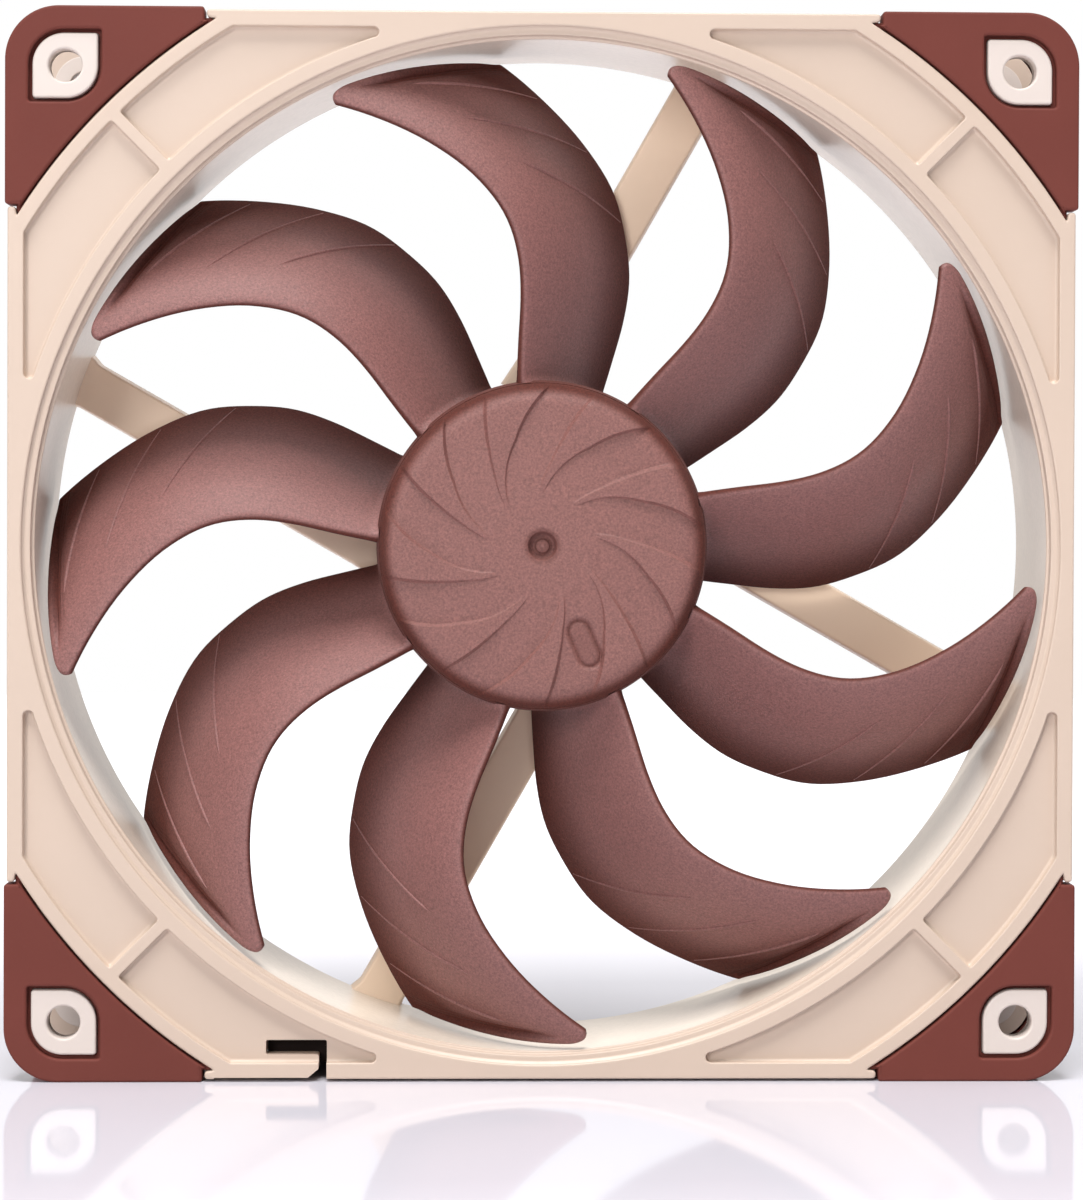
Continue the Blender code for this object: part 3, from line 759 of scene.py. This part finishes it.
# The pad's tongue in the frame's relief, under the face
TONGUE = ((67.6, 45.0), (67.75, 43.6), (68.35, 42.95), (68.58, 43.4), (68.58, 45.0))


def pad_outline():
    inner = FACE_ARC_R + GAP
    end = HOOK_END + GAP
    start = math.degrees(math.acos(PAD_STEP / inner))
    points = [(HALF, end)]
    points += arc((HALF - PAD_CORNER_R,) * 2, PAD_CORNER_R, 0, 90, 24)
    points += [(end, HALF), (end, PAD_STEP)]
    points += arc((0, 0), inner, 90 - start, start, 40)
    points += [(PAD_STEP, end)]
    return points


def pad_hollow():
    """The space inside the pad's skirt, which the frame's web fills."""
    inner = 47
    edge = HALF - PAD_SKIRT_T
    radius = PAD_CORNER_R - PAD_SKIRT_T
    corner = arc((edge - radius,) * 2, radius, 0, 90, 12)
    return [(inner, inner), (edge, inner)] + corner + [(inner, edge)]


def add_pad_details(pad, sx, sy, side):
    """A lip round the boss, and a tongue in each of the frame's reliefs."""
    bm = bmesh.new()
    bm.from_mesh(pad.data)
    low, high = sorted(side * z for z in LIP_Z)
    lip = mirrored(leaf(BOSS_OPENING + 1.0), sx, sy)
    add_plate(bm, lip, [mirrored(leaf(BOSS + 0.15), sx, sy)], high, low, 0.1, 0.1)
    low, high = sorted(side * z for z in TONGUE_Z)
    for shape in (TONGUE, [(y, x) for x, y in TONGUE][::-1]):
        add_plate(bm, mirrored(shape, sx, sy), [], high, low, 0.1, 0.1, corner=0.2)
    bmesh.ops.recalc_face_normals(bm, faces=bm.faces)
    bm.to_mesh(pad.data)
    bm.free()
    set_shading(pad.data)


def build_pad(where, sx, sy, side):
    bm = bmesh.new()
    outer = mirrored(pad_outline(), sx, sy)
    hole = mirrored(leaf(BOSS_OPENING), sx, sy)
    low, high = sorted((side * FACE, side * FLANGE_Z))
    round_top, round_low = (0.34, 0.15) if side > 0 else (0.15, 0.34)
    add_plate(bm, outer, [hole], high, low, round_top, round_low, corner=0.45)
    pad = finish_mesh("corner_pad_" + where, bm, RUBBER)
    low, high = sorted((side * (FACE - PAD_PLATE_T), side * (FLANGE_Z - 2)))
    cut(pad, prism_cutter(mirrored(pad_hollow(), sx, sy), low, high))
    add_pad_details(pad, sx, sy, side)
    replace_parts(pad, "pad_" + where)


def build_pads():
    for side_name, side in (("front", 1), ("rear", -1)):
        for sy, row in ((1, "top"), (-1, "bottom")):
            for sx, column in ((-1, "left"), (1, "right")):
                build_pad("%s_%s_%s" % (side_name, row, column), sx, sy, side)


# --------------------------------------------------------------------- impeller

RADII = np.array([s[0] for s in BLADE_STATIONS])
EDGES = np.array([s[1:] for s in BLADE_STATIONS])
TIP_R = BLADE_STATIONS[-1][0]
TIP_TRIM = 1.9  # how far the leading corner of the tip is cut back
TIP_BLEND = 8.0  # over how much of the radius the blade gives way to that
TIP_ROWS_R = 3.0  # how much of the radius, at the tip, has closer rows
EDGE_R = 0.35  # radius of the tip's rounded edge

# Relief along the tip: height of the lip, the hollow, the groove and two faint lines
LIP_RISE = 0.40
HOLLOW_DIP = 0.40
HOLLOW_WIDTH = 1.9
GROOVE_DIP = 0.30
FINE_LINES = ((0.7, 0.10), (1.15, 0.08))

RIDGE_HALF_WIDTH = 0.24
RIDGE_RISE = 0.26
RIDGE_SUNK = 0.04


def slope_at(i):
    low, high = max(i - 1, 0), min(i + 1, len(RADII) - 1)
    return (EDGES[high] - EDGES[low]) / (RADII[high] - RADII[low])


def smooth_table(radius):
    """Leading and trailing angle and depth at a radius, by a curve through the stations."""
    i = int(np.clip(np.searchsorted(RADII, radius) - 1, 0, len(RADII) - 2))
    span = RADII[i + 1] - RADII[i]
    t = (radius - RADII[i]) / span
    h00, h10 = 2 * t**3 - 3 * t**2 + 1, t**3 - 2 * t**2 + t
    h01, h11 = -2 * t**3 + 3 * t**2, t**3 - t**2
    here = h00 * EDGES[i] + h10 * span * slope_at(i)
    return here + h01 * EDGES[i + 1] + h11 * span * slope_at(i + 1)


def blade_middle(radius, t):
    """A point of the blade's middle surface; t runs from the trailing to the leading edge."""
    lead, trail, lead_depth, trail_depth = smooth_table(radius)
    share = (radius - RADII[0]) / (RADII[-1] - RADII[0])
    camber = 1.15 + 0.5 * share
    angle = math.radians(trail + (lead - trail) * t)
    depth = lead_depth + (trail_depth - lead_depth) * (1 - t) ** camber
    return np.array([radius * math.cos(angle), radius * math.sin(angle), FACE - depth])


def chord_at(radius):
    a, b = blade_middle(radius, 0), blade_middle(radius, 1)
    return float(np.linalg.norm(a - b))


def blade_frame(radius, t):
    """Point and unit normal (toward the intake) of the middle surface."""
    near = 0.02
    p = blade_middle(radius, t)
    dr = blade_middle(min(radius + near, TIP_R), t) - blade_middle(radius - near, t)
    dt = blade_middle(radius, min(t + 0.01, 1)) - blade_middle(radius, max(t - 0.01, 0))
    n = np.cross(dr, dt)
    n /= np.linalg.norm(n)
    return p, (n if n[2] > 0 else -n)


def tip_trim(t):
    """How far the tip stops short of the full radius: rounded at the leading corner."""
    nose = max(0.0, (t - 0.80) / 0.20)
    return TIP_TRIM * nose**2.6


def blade_half_thickness(radius, t, chord):
    """Half thickness: a fat round leading edge, a thin trailing edge, thick at the root."""
    body = 0.34 + 0.36 * t
    lead = (1 - t) * chord / 0.95
    if lead < 1:
        body *= math.sqrt(max(0.0, 1 - (1 - lead) ** 2))
    trail = t * chord / 0.3
    if trail < 1:
        body *= math.sqrt(max(0.0, 1 - (1 - trail) ** 2))
    root = max(0.0, 1 - (radius - HUB_R) / 1.6) if radius > HUB_R else 1.0
    return body + 0.75 * root**2.2 * min(1.0, lead * 0.6, trail * 0.6)


def chord_steps(count):
    """Chord positions crowded toward both edges."""
    return [0.5 - 0.5 * math.cos(math.pi * i / count) for i in range(count + 1)]


def span_steps(count):
    """Radii of the mesh's rows: close at the root, even between, closest at the tip."""
    root = [RADII[0] + 0.35 * k for k in range(8)]
    outer_start = root[-1] + 0.5
    tip_start = TIP_R - TIP_ROWS_R
    middle = [outer_start + (tip_start - outer_start) * k / count for k in range(count + 1)]
    rows = 26
    tip = [tip_start + TIP_ROWS_R * k / rows for k in range(1, rows + 1)]
    return root + middle + tip


def smooth(x):
    """0 below 0, 1 above 1 and a smooth rise between."""
    x = min(1.0, max(0.0, x))
    return x * x * (3 - 2 * x)


def crease_at(t):
    """How far inside the tip the crease runs."""
    return 0.3 + 0.75 * smooth(t / 0.5)


def tip_fade(t):
    """The relief dies away at both ends of the tip."""
    return smooth(t / 0.04) * smooth((0.86 - t) / 0.2)


def tip_relief(radius, t):
    """The lip along the tip, the crease inside it and the faint lines beside that."""
    into = TIP_R - tip_trim(t) - radius
    crease = crease_at(t)
    rise = LIP_RISE * smooth((crease - into) / 0.3)
    rise -= HOLLOW_DIP * smooth((crease + HOLLOW_WIDTH - into) / HOLLOW_WIDTH)
    rise -= GROOVE_DIP * math.exp(-(((into - crease - 0.1) / 0.18) ** 2))
    for inside, dip in FINE_LINES:
        rise -= dip * math.exp(-(((into - crease - inside) / 0.12) ** 2))
    return tip_fade(t) * rise


def painted_blade_shade(radius, t):
    """How much shade is painted into the blade's colour: most at the trailing edge, the tip and the
    crease, with a thin line along the leading edge.
    """
    trailing = 1 - smooth(t / 0.45)
    into = TIP_R - tip_trim(t) - radius
    tip = 1 - smooth((TIP_R - radius) / 7.0)
    crease = math.exp(-(((into - crease_at(t) - 0.35) / 0.45) ** 2)) * tip_fade(t)
    lead = smooth((t - 0.975) / 0.02)
    return min(1.0, trailing + 0.75 * tip * (1 - smooth((t - 0.45) / 0.4)) + 0.8 * crease + lead)


def add_blade(bm, turn):
    """One blade: an intake and an outlet side, joined round all four edges."""
    # the depth attribute carries the shade painted into the blade's colour
    layer = bm.verts.layers.float.get("depth") or bm.verts.layers.float.new("depth")
    ts = chord_steps(44)
    radii = span_steps(36)
    c, s = math.cos(turn), math.sin(turn)

    def vert(p, blade_shade):
        made = bm.verts.new(at(p[0] * c - p[1] * s, p[0] * s + p[1] * c, p[2]))
        made[layer] = blade_shade
        return made

    front, back = [], []
    for radius in radii:
        share = max(0.0, (radius - (TIP_R - TIP_BLEND)) / TIP_BLEND)
        row_f, row_b = [], []
        for t in ts:
            r = radius - tip_trim(t) * share
            p, n = blade_frame(min(r, TIP_R), t)
            h = blade_half_thickness(r, t, chord_at(r))
            edge = (TIP_R - tip_trim(t) - r) / EDGE_R
            if edge < 1 and share > 0.9:
                h *= math.sqrt(max(0.02, 1 - (1 - max(edge, 0)) ** 2))
            row_f.append(p + n * (h + tip_relief(r, t)))
            row_b.append(p - n * h)
        # painted shade for each point of the row
        blade_shade = [painted_blade_shade(radius, t) for t in ts]
        front.append([vert(p, d) for p, d in zip(row_f, blade_shade)])
        back.append([vert(p, d) for p, d in zip(row_b, blade_shade)])
    count = len(ts)
    for grid in (front, back):
        for a, b in zip(grid, grid[1:]):
            for i in range(count - 1):
                bm.faces.new((a[i], a[i + 1], b[i + 1], b[i]))
    for i in (0, count - 1):
        for k in range(len(radii) - 1):
            bm.faces.new((front[k][i], front[k + 1][i], back[k + 1][i], back[k][i]))
    for k in (0, len(radii) - 1):
        for i in range(count - 1):
            bm.faces.new((front[k][i], back[k][i], back[k][i + 1], front[k][i + 1]))


# Flow ridges on each blade: start and end as (radius, angle from the blade's own zero)
FLOW_RIDGES = (
    ((45.2, -3.6), (50.5, 13.6)),
    ((53.6, 3.6), (57.1, 21.0)),
    ((60.4, 10.8), (62.9, 26.0)),
)


def add_ridge(bm, turn, start, end):
    """A thin raised line that lies on the blade's intake side and fades at its inner end."""
    steps = 26
    c, s = math.cos(turn), math.sin(turn)
    path = []
    for k in range(steps + 1):
        u = k / steps
        radius = start[0] + (end[0] - start[0]) * u
        angle = start[1] + (end[1] - start[1]) * u
        lead, trail, _, _ = smooth_table(radius)
        t = (angle - trail) / (lead - trail)
        if not 0.02 < t < 0.97:
            continue
        p, n = blade_frame(radius, t)
        p = p + n * blade_half_thickness(radius, t, chord_at(radius))
        size = min(1.0, 0.35 + 1.1 * u) * min(1.0, (1.02 - u) * 9)
        path.append((p, n, size))
    rings = []
    for k, (p, n, size) in enumerate(path):
        q0 = path[max(k - 1, 0)][0]
        q1 = path[min(k + 1, len(path) - 1)][0]
        along = (q1 - q0) / np.linalg.norm(q1 - q0)
        side = np.cross(along, n)
        side /= np.linalg.norm(side)
        ring = []
        for a in range(0, 181, 30):
            off = side * math.cos(math.radians(a)) * RIDGE_HALF_WIDTH * size
            off = off + n * (math.sin(math.radians(a)) * RIDGE_RISE * size - RIDGE_SUNK)
            x, y, z = p + off
            ring.append(bm.verts.new(at(x * c - y * s, x * s + y * c, z)))
        rings.append(ring)
    add_strips(bm, rings)
    bm.faces.new(rings[0])
    bm.faces.new(rings[-1])


# Each of the hub's nine swirl vanes is a wedge between two spirals that meet near the
# middle: radius, and the angle of each side from the wedge's middle at the rim.
VANE_SIDES = (
    (6.2, 33.5, 39.5),
    (7.4, 28.5, 33.5),
    (11.1, 16.0, 25.0),
    (14.35, 5.0, 20.0),
    (17.6, -3.0, 16.0),
    (21.2, -12.0, 11.5),
)
VANE_PHASE = 19.3
OVAL_R = 13.95
OVAL_DEG = 293.6
OVAL_LENGTH = 6.4
OVAL_WIDTH = 2.9
VANE_HEIGHT = 0.72
VANE_INNER_HEIGHT = 0.16
HUB_ROLL_R = 18.6
HUB_FLARE = 0.38
BORE_END_R = 0.5
BORE_R = 3.6  # opening in the hub for the shaft insert


def vane_sides(radius):
    """The angles of a wedge's two sides at a radius."""
    rs = [v[0] for v in VANE_SIDES]
    a = np.interp(radius, rs, [v[1] for v in VANE_SIDES])
    b = np.interp(radius, rs, [v[2] for v in VANE_SIDES])
    return float(a), float(b)


def hub_face_z(radius):
    """Height of the plain hub face: a slight dome that rolls over at the rim."""
    top = FACE - HUB_FRONT + 0.3
    dome = 0.35 * (radius / 19.0) ** 2
    roll = 0.0
    if radius > HUB_ROLL_R:
        over = (radius - HUB_ROLL_R) / (HUB_R - HUB_ROLL_R)
        roll = 2.3 * (1 - math.sqrt(max(0.0, 1 - min(over, 1.0) ** 2)))
    return top - dome - roll


def hub_columns():
    """Where the hub's mesh lines run: across a side, over a wedge, down, over the gap."""
    over, between = ((15, 24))
    columns = []
    for k in range(BLADES):
        columns += [(k, "a", i / 4) for i in range(4)]
        columns += [(k, "w", i / over) for i in range(over)]
        columns += [(k, "b", i / 4) for i in range(4)]
        columns += [(k, "g", i / between) for i in range(between)]
    return columns


def oval_mark(x, y):
    """The shallow oval mould mark: a fine groove round a floor that is a little lower, and the shade
    painted into that floor and groove.
    """
    turn = math.radians(OVAL_DEG)
    along = x * math.cos(turn) + y * math.sin(turn) - OVAL_R
    across = -x * math.sin(turn) + y * math.cos(turn)
    reach = OVAL_LENGTH / 2 - OVAL_WIDTH / 2
    distance = math.hypot(along - min(reach, max(-reach, along)), across)
    edge = distance - OVAL_WIDTH / 2
    inside = smooth(0.5 - edge / 0.5)
    groove = math.exp(-((edge / 0.26) ** 2))
    # the second value is painted shade in the mark's floor and groove
    return -0.16 * inside - 0.3 * groove, 0.22 * inside + 0.45 * groove


def hub_point(radius, k, kind, u):
    """A point of the hub's face, and how much shade the oval mark paints there."""
    a, b = vane_sides(radius)
    out = smooth((radius - 6.8) / 12.0)
    edge = math.degrees((0.2 + 0.32 * out) / radius)
    edge = min(edge, (b - a) * 0.45)
    rim = smooth((HUB_R - 0.1 - radius) / 1.3)
    height = VANE_INNER_HEIGHT + (VANE_HEIGHT - VANE_INNER_HEIGHT) * out
    height *= smooth((radius - 6.6) / 1.6) * rim
    if kind == "a":
        angle, lift = a - edge / 2 + edge * u, u
    elif kind == "w":
        angle, lift = a + edge / 2 + (b - a - edge) * u, 1.0
    elif kind == "b":
        angle, lift = b - edge / 2 + edge * u, 1.0 - u
    else:
        angle, lift = b + edge / 2 + (BLADE_PITCH + a - b - edge) * u, 0.0
    theta = math.radians(VANE_PHASE + BLADE_PITCH * k + angle)
    x, y = radius * math.cos(theta), radius * math.sin(theta)
    sunk, painted_mark_shade = oval_mark(x, y)
    return (x, y, hub_face_z(radius) + height * (smooth(lift) - 0.45) + sunk), painted_mark_shade


def build_hub():
    bm = bmesh.new()
    columns = hub_columns()
    rows = 92
    vanes_in, vanes_out = VANE_SIDES[0][0], HUB_R - 0.5
    radii = [2.6, 3.4, 4.4, 5.4, vanes_in]
    radii += [vanes_in + (vanes_out - vanes_in) * i / rows for i in range(1, rows + 1)]
    radii += [HUB_R - back for back in (0.32, 0.18, 0.08, 0.02, 0)]
    layer = bm.verts.layers.float.new("depth")
    rings = []
    for radius in radii:
        ring = []
        for column in columns:
            point, painted_mark_shade = hub_point(radius, *column)
            v = bm.verts.new(at(*point))
            # painted shade: the rim band where the face rolls over, and the oval mark's floor and
            # groove
            v[layer] = min(1.0, smooth((radius - 19.4) / 1.6) + painted_mark_shade)
            ring.append(v)
        rings.append(ring)
    add_strips(bm, rings)
    turns = [math.atan2(v.co.z, v.co.x) for v in rings[0]]

    def turned_on(start, profile):
        previous = start
        for radius, z in profile:
            ring = [bm.verts.new(at(radius * math.cos(a), radius * math.sin(a), z)) for a in turns]
            # painted shade: 0.9 on the hub's outside wall, skirt, cup and collar, 0.4 in the dimple and
            # the bore
            for v in ring:
                v[layer] = 0.9 if radius > 4 else 0.4
            add_strip(bm, previous, ring)
            previous = ring
        tip = bm.verts.new(at(0, 0, profile[-1][1]))
        for i, v in enumerate(previous):
            bm.faces.new((v, previous[(i + 1) % len(previous)], tip))

    # the dimple in the middle of the face, with its small inner nub
    top = hub_face_z(2.0)
    dimple = [(2.2, top - 0.02), (1.95, top - 0.12), (1.75, top - 0.5), (1.6, top - 1.1)]
    dimple += [(1.25, top - 1.3), (0.98, top - 1.2), (0.86, top - 0.9)]
    dimple += [(0.6, top - 0.8), (0.3, top - 0.8)]
    turned_on(rings[0], dimple)
    # the outside wall, the skirt's rim, the inside of the cup and the shaft's collar
    front = FACE - HUB_FRONT
    skirt, flared, inside = HUB_SKIRT_Z, HUB_R + HUB_FLARE, HUB_R - HUB_WALL
    collar = BORE_R + 1.4
    wall = [(HUB_R, front - 1.9), (HUB_R + 0.12, front - 2.4), (HUB_R + 0.32, front - 3.1)]
    wall += [(flared, front - 4.5), (flared, skirt + 1.6), (HUB_R, skirt + 0.6)]
    wall += [(HUB_R, skirt + 0.3), (HUB_R - 0.3, skirt), (inside + 0.2, skirt)]
    wall += [(inside, skirt + 0.2), (inside, front - 2.4), (collar, front - 2.4)]
    wall += [(collar, front - 4.0), (BORE_R, front - 4.0), (BORE_R, front - 1.7)]
    wall += [(BORE_END_R, front - 1.7)]
    turned_on(rings[-1], wall)
    hub = finish_mesh("impeller_hub", bm, BROWN, ROTOR_SHARP_DEG, "rotor")
    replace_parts(hub, "impeller")


def build_blades():
    bm = bmesh.new()
    for k in range(BLADES):
        turn = math.radians(BLADE_PITCH * k)
        add_blade(bm, turn)
        for start, end in FLOW_RIDGES:
            add_ridge(bm, turn, start, end)
    blades = finish_mesh("impeller_blades", bm, BLADE_BROWN, ROTOR_SHARP_DEG, "rotor")
    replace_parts(blades, "impeller")


# ---------------------------------------------------- materials on the CAD nodes


def ground_metal(name, colour, roughness):
    mat, tree, shader = shader_material(name, colour, roughness, 1.0)
    add_bump(tree, shader, object_noise(tree, 3000, 2), 0.15, 0.00002)
    return mat


def dress_nodes():
    """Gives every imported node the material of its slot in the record."""
    steel = ground_metal("ground_steel", (0.56, 0.56, 0.57), 0.28)
    brass = ground_metal("turned_brass", (0.72, 0.53, 0.25), 0.25)
    ferrite = moulded("ferrite", (0.045, 0.045, 0.05), 0.55, 0.15)
    nylon = moulded("nylon", (0.78, 0.76, 0.70), 0.4, 0.03)
    laminate = moulded("laminated_core", (0.11, 0.11, 0.12), 0.4, 0.1)
    board = moulded("solder_mask", (0.02, 0.13, 0.05), 0.35, 0.1)
    chips = moulded("chip_plastic", (0.02, 0.02, 0.02), 0.5, 0.1)
    sinter = moulded("sintered_bronze", (0.33, 0.24, 0.13), 0.5, 0.15)
    wire, tree, shader = shader_material("lacquered_wire", (0.55, 0.18, 0.07), 0.3, 0.8)
    add_bump(tree, shader, object_noise(tree, 2500, 1), 0.5, 0.0001)
    table = {
        "steel": steel,
        "brass": brass,
        "magnet": ferrite,
        "nylon": nylon,
        "lamination": laminate,
        "board": board,
        "black_plastic": chips,
        "sinter": sinter,
        "winding": wire,
        "black_rubber": BLACK_RUBBER,
        "label_film": LABEL,
        "frame_beige": BEIGE,
        "impeller_brown": BROWN,
        "pad_rubber": RUBBER,
    }
    for entry in frame["record"]["subparts"]:
        ob = frame["nodes"][entry["node"]]
        for slot in ob.material_slots:
            slot.material = table[entry["material_slot"]]


# ------------------------------------------------------- floor, light and camera


FLOOR_R = 0.8
FLOOR_COLOUR = (0.685, 0.67, 0.735)
GLOW_START, GLOW_END = 0.07, 0.22  # metres from the fan's middle
GLOW = 0.5
GLOW_SIDE_SHARE = 0.6  # distance to a side counts for less than distance in depth
STUDIO_DIM, STUDIO_BRIGHT = 0.16, 0.7
STUDIO_EDGE = 0.25  # the change from dim to bright spans this much of a direction's Y, each way
LIGHTS = (
    ("front_light", (-0.7, -1.75, 0.62), 0.7, 19.0),
    ("top_light", (-0.1, -1.1, 3.0), 1.5, 132.0),
    ("rear_light", (0.7, 1.9, 1.2), 1.3, 8.0),
)
LENS = 91.24
SHIFT_Y = -0.0532
CAMERA_X, CAMERA_Z = -0.0103, 0.0058
CAMERA_AWAY = 0.3964  # metres in front of the pads
YAW, PITCH, ROLL = 0.0255, -0.0113, 0.0036  # radians


def add_floor():
    floor_mesh = bpy.data.meshes.new("floor")
    bm = bmesh.new()
    bmesh.ops.create_circle(bm, cap_ends=True, radius=FLOOR_R, segments=96)
    bm.to_mesh(floor_mesh)
    bm.free()
    floor = bpy.data.objects.new("floor", floor_mesh)
    floor.location.z = CAD_BOX[0][2]
    bpy.context.scene.collection.objects.link(floor)
    mat, tree, shader = shader_material("pale_floor", FLOOR_COLOUR, 0.07, specular=0.45)
    floor_mesh.materials.append(mat)
    # the floor behind and round the fan fades to plain white
    where = node(tree, "ShaderNodeTexCoord")
    away = node(tree, "ShaderNodeVectorMath", operation="ABSOLUTE")
    split = node(tree, "ShaderNodeSeparateXYZ")
    glow = node(tree, "ShaderNodeMapRange")
    glow.inputs["From Min"].default_value = GLOW_START
    glow.inputs["From Max"].default_value = GLOW_END
    glow.inputs["To Max"].default_value = GLOW
    beside = node(tree, "ShaderNodeMath", operation="MULTIPLY")
    beside.inputs[1].default_value = GLOW_SIDE_SHARE
    farther = node(tree, "ShaderNodeMath", operation="MAXIMUM")
    tree.links.new(where.outputs["Object"], away.inputs[0])
    tree.links.new(away.outputs[0], split.inputs[0])
    tree.links.new(split.outputs["X"], beside.inputs[0])
    tree.links.new(beside.outputs[0], farther.inputs[0])
    tree.links.new(split.outputs["Y"], farther.inputs[1])
    tree.links.new(farther.outputs[0], glow.inputs["Value"])
    shader.inputs["Emission Color"].default_value = (1, 1, 1, 1)
    tree.links.new(glow.outputs[0], shader.inputs["Emission Strength"])


def add_studio():
    """A white studio: bright behind the fan, softer in front, and plain white to look at."""
    world = bpy.data.worlds.new("studio")
    world.use_nodes = True
    tree = world.node_tree
    back = tree.nodes["Background"]
    back.inputs["Color"].default_value = (1.0, 1.0, 1.0, 1)
    coords = node(tree, "ShaderNodeTexCoord")
    split = node(tree, "ShaderNodeSeparateXYZ")
    bright = node(tree, "ShaderNodeMapRange")
    bright.inputs["From Min"].default_value = -STUDIO_EDGE
    bright.inputs["From Max"].default_value = STUDIO_EDGE
    bright.inputs["To Min"].default_value = STUDIO_DIM
    bright.inputs["To Max"].default_value = STUDIO_BRIGHT
    path = node(tree, "ShaderNodeLightPath")
    seen = node(tree, "ShaderNodeMath", operation="MAXIMUM")
    tree.links.new(coords.outputs["Generated"], split.inputs[0])
    tree.links.new(split.outputs["Y"], bright.inputs["Value"])
    tree.links.new(bright.outputs[0], seen.inputs[0])
    tree.links.new(path.outputs["Is Camera Ray"], seen.inputs[1])
    tree.links.new(seen.outputs[0], back.inputs["Strength"])
    bpy.context.scene.world = world
    bpy.context.scene.view_settings.view_transform = "Standard"


def add_light(name, place, size, power):
    """A square soft box that points at the fan."""
    light = bpy.data.lights.new(name, "AREA")
    light.shape = "RECTANGLE"
    light.size = size
    light.size_y = size
    light.energy = power
    ob = bpy.data.objects.new(name, light)
    ob.location = place
    ob.rotation_euler = (-Vector(place)).to_track_quat("-Z", "Y").to_euler()
    bpy.context.scene.collection.objects.link(ob)


def add_camera():
    cam_data = bpy.data.cameras.new("camera")
    cam_data.sensor_width = 36
    cam_data.lens = LENS
    cam_data.shift_y = SHIFT_Y
    cam_data.clip_start = 0.01
    cam = bpy.data.objects.new("camera", cam_data)
    cam.location = (CAMERA_X, CAD_BOX[0][1] - CAMERA_AWAY, CAMERA_Z)
    level = math.cos(PITCH)
    forward = Vector((math.sin(YAW) * level, math.cos(YAW) * level, math.sin(PITCH)))
    right = Vector((math.cos(YAW), -math.sin(YAW), 0))
    up = right.cross(forward)
    across = right * math.cos(ROLL) + up * math.sin(ROLL)
    above = up * math.cos(ROLL) - right * math.sin(ROLL)
    cam.rotation_euler = Matrix((across, above, -forward)).transposed().to_euler()
    bpy.context.scene.collection.objects.link(cam)
    bpy.context.scene.camera = cam


build_front_flange()
build_duct()
build_rear_flange()
build_corners()
build_motor_mount()
build_pads()
build_hub()
build_blades()
dress_nodes()
add_floor()
add_studio()
for lamp in LIGHTS:
    add_light(*lamp)
add_camera()
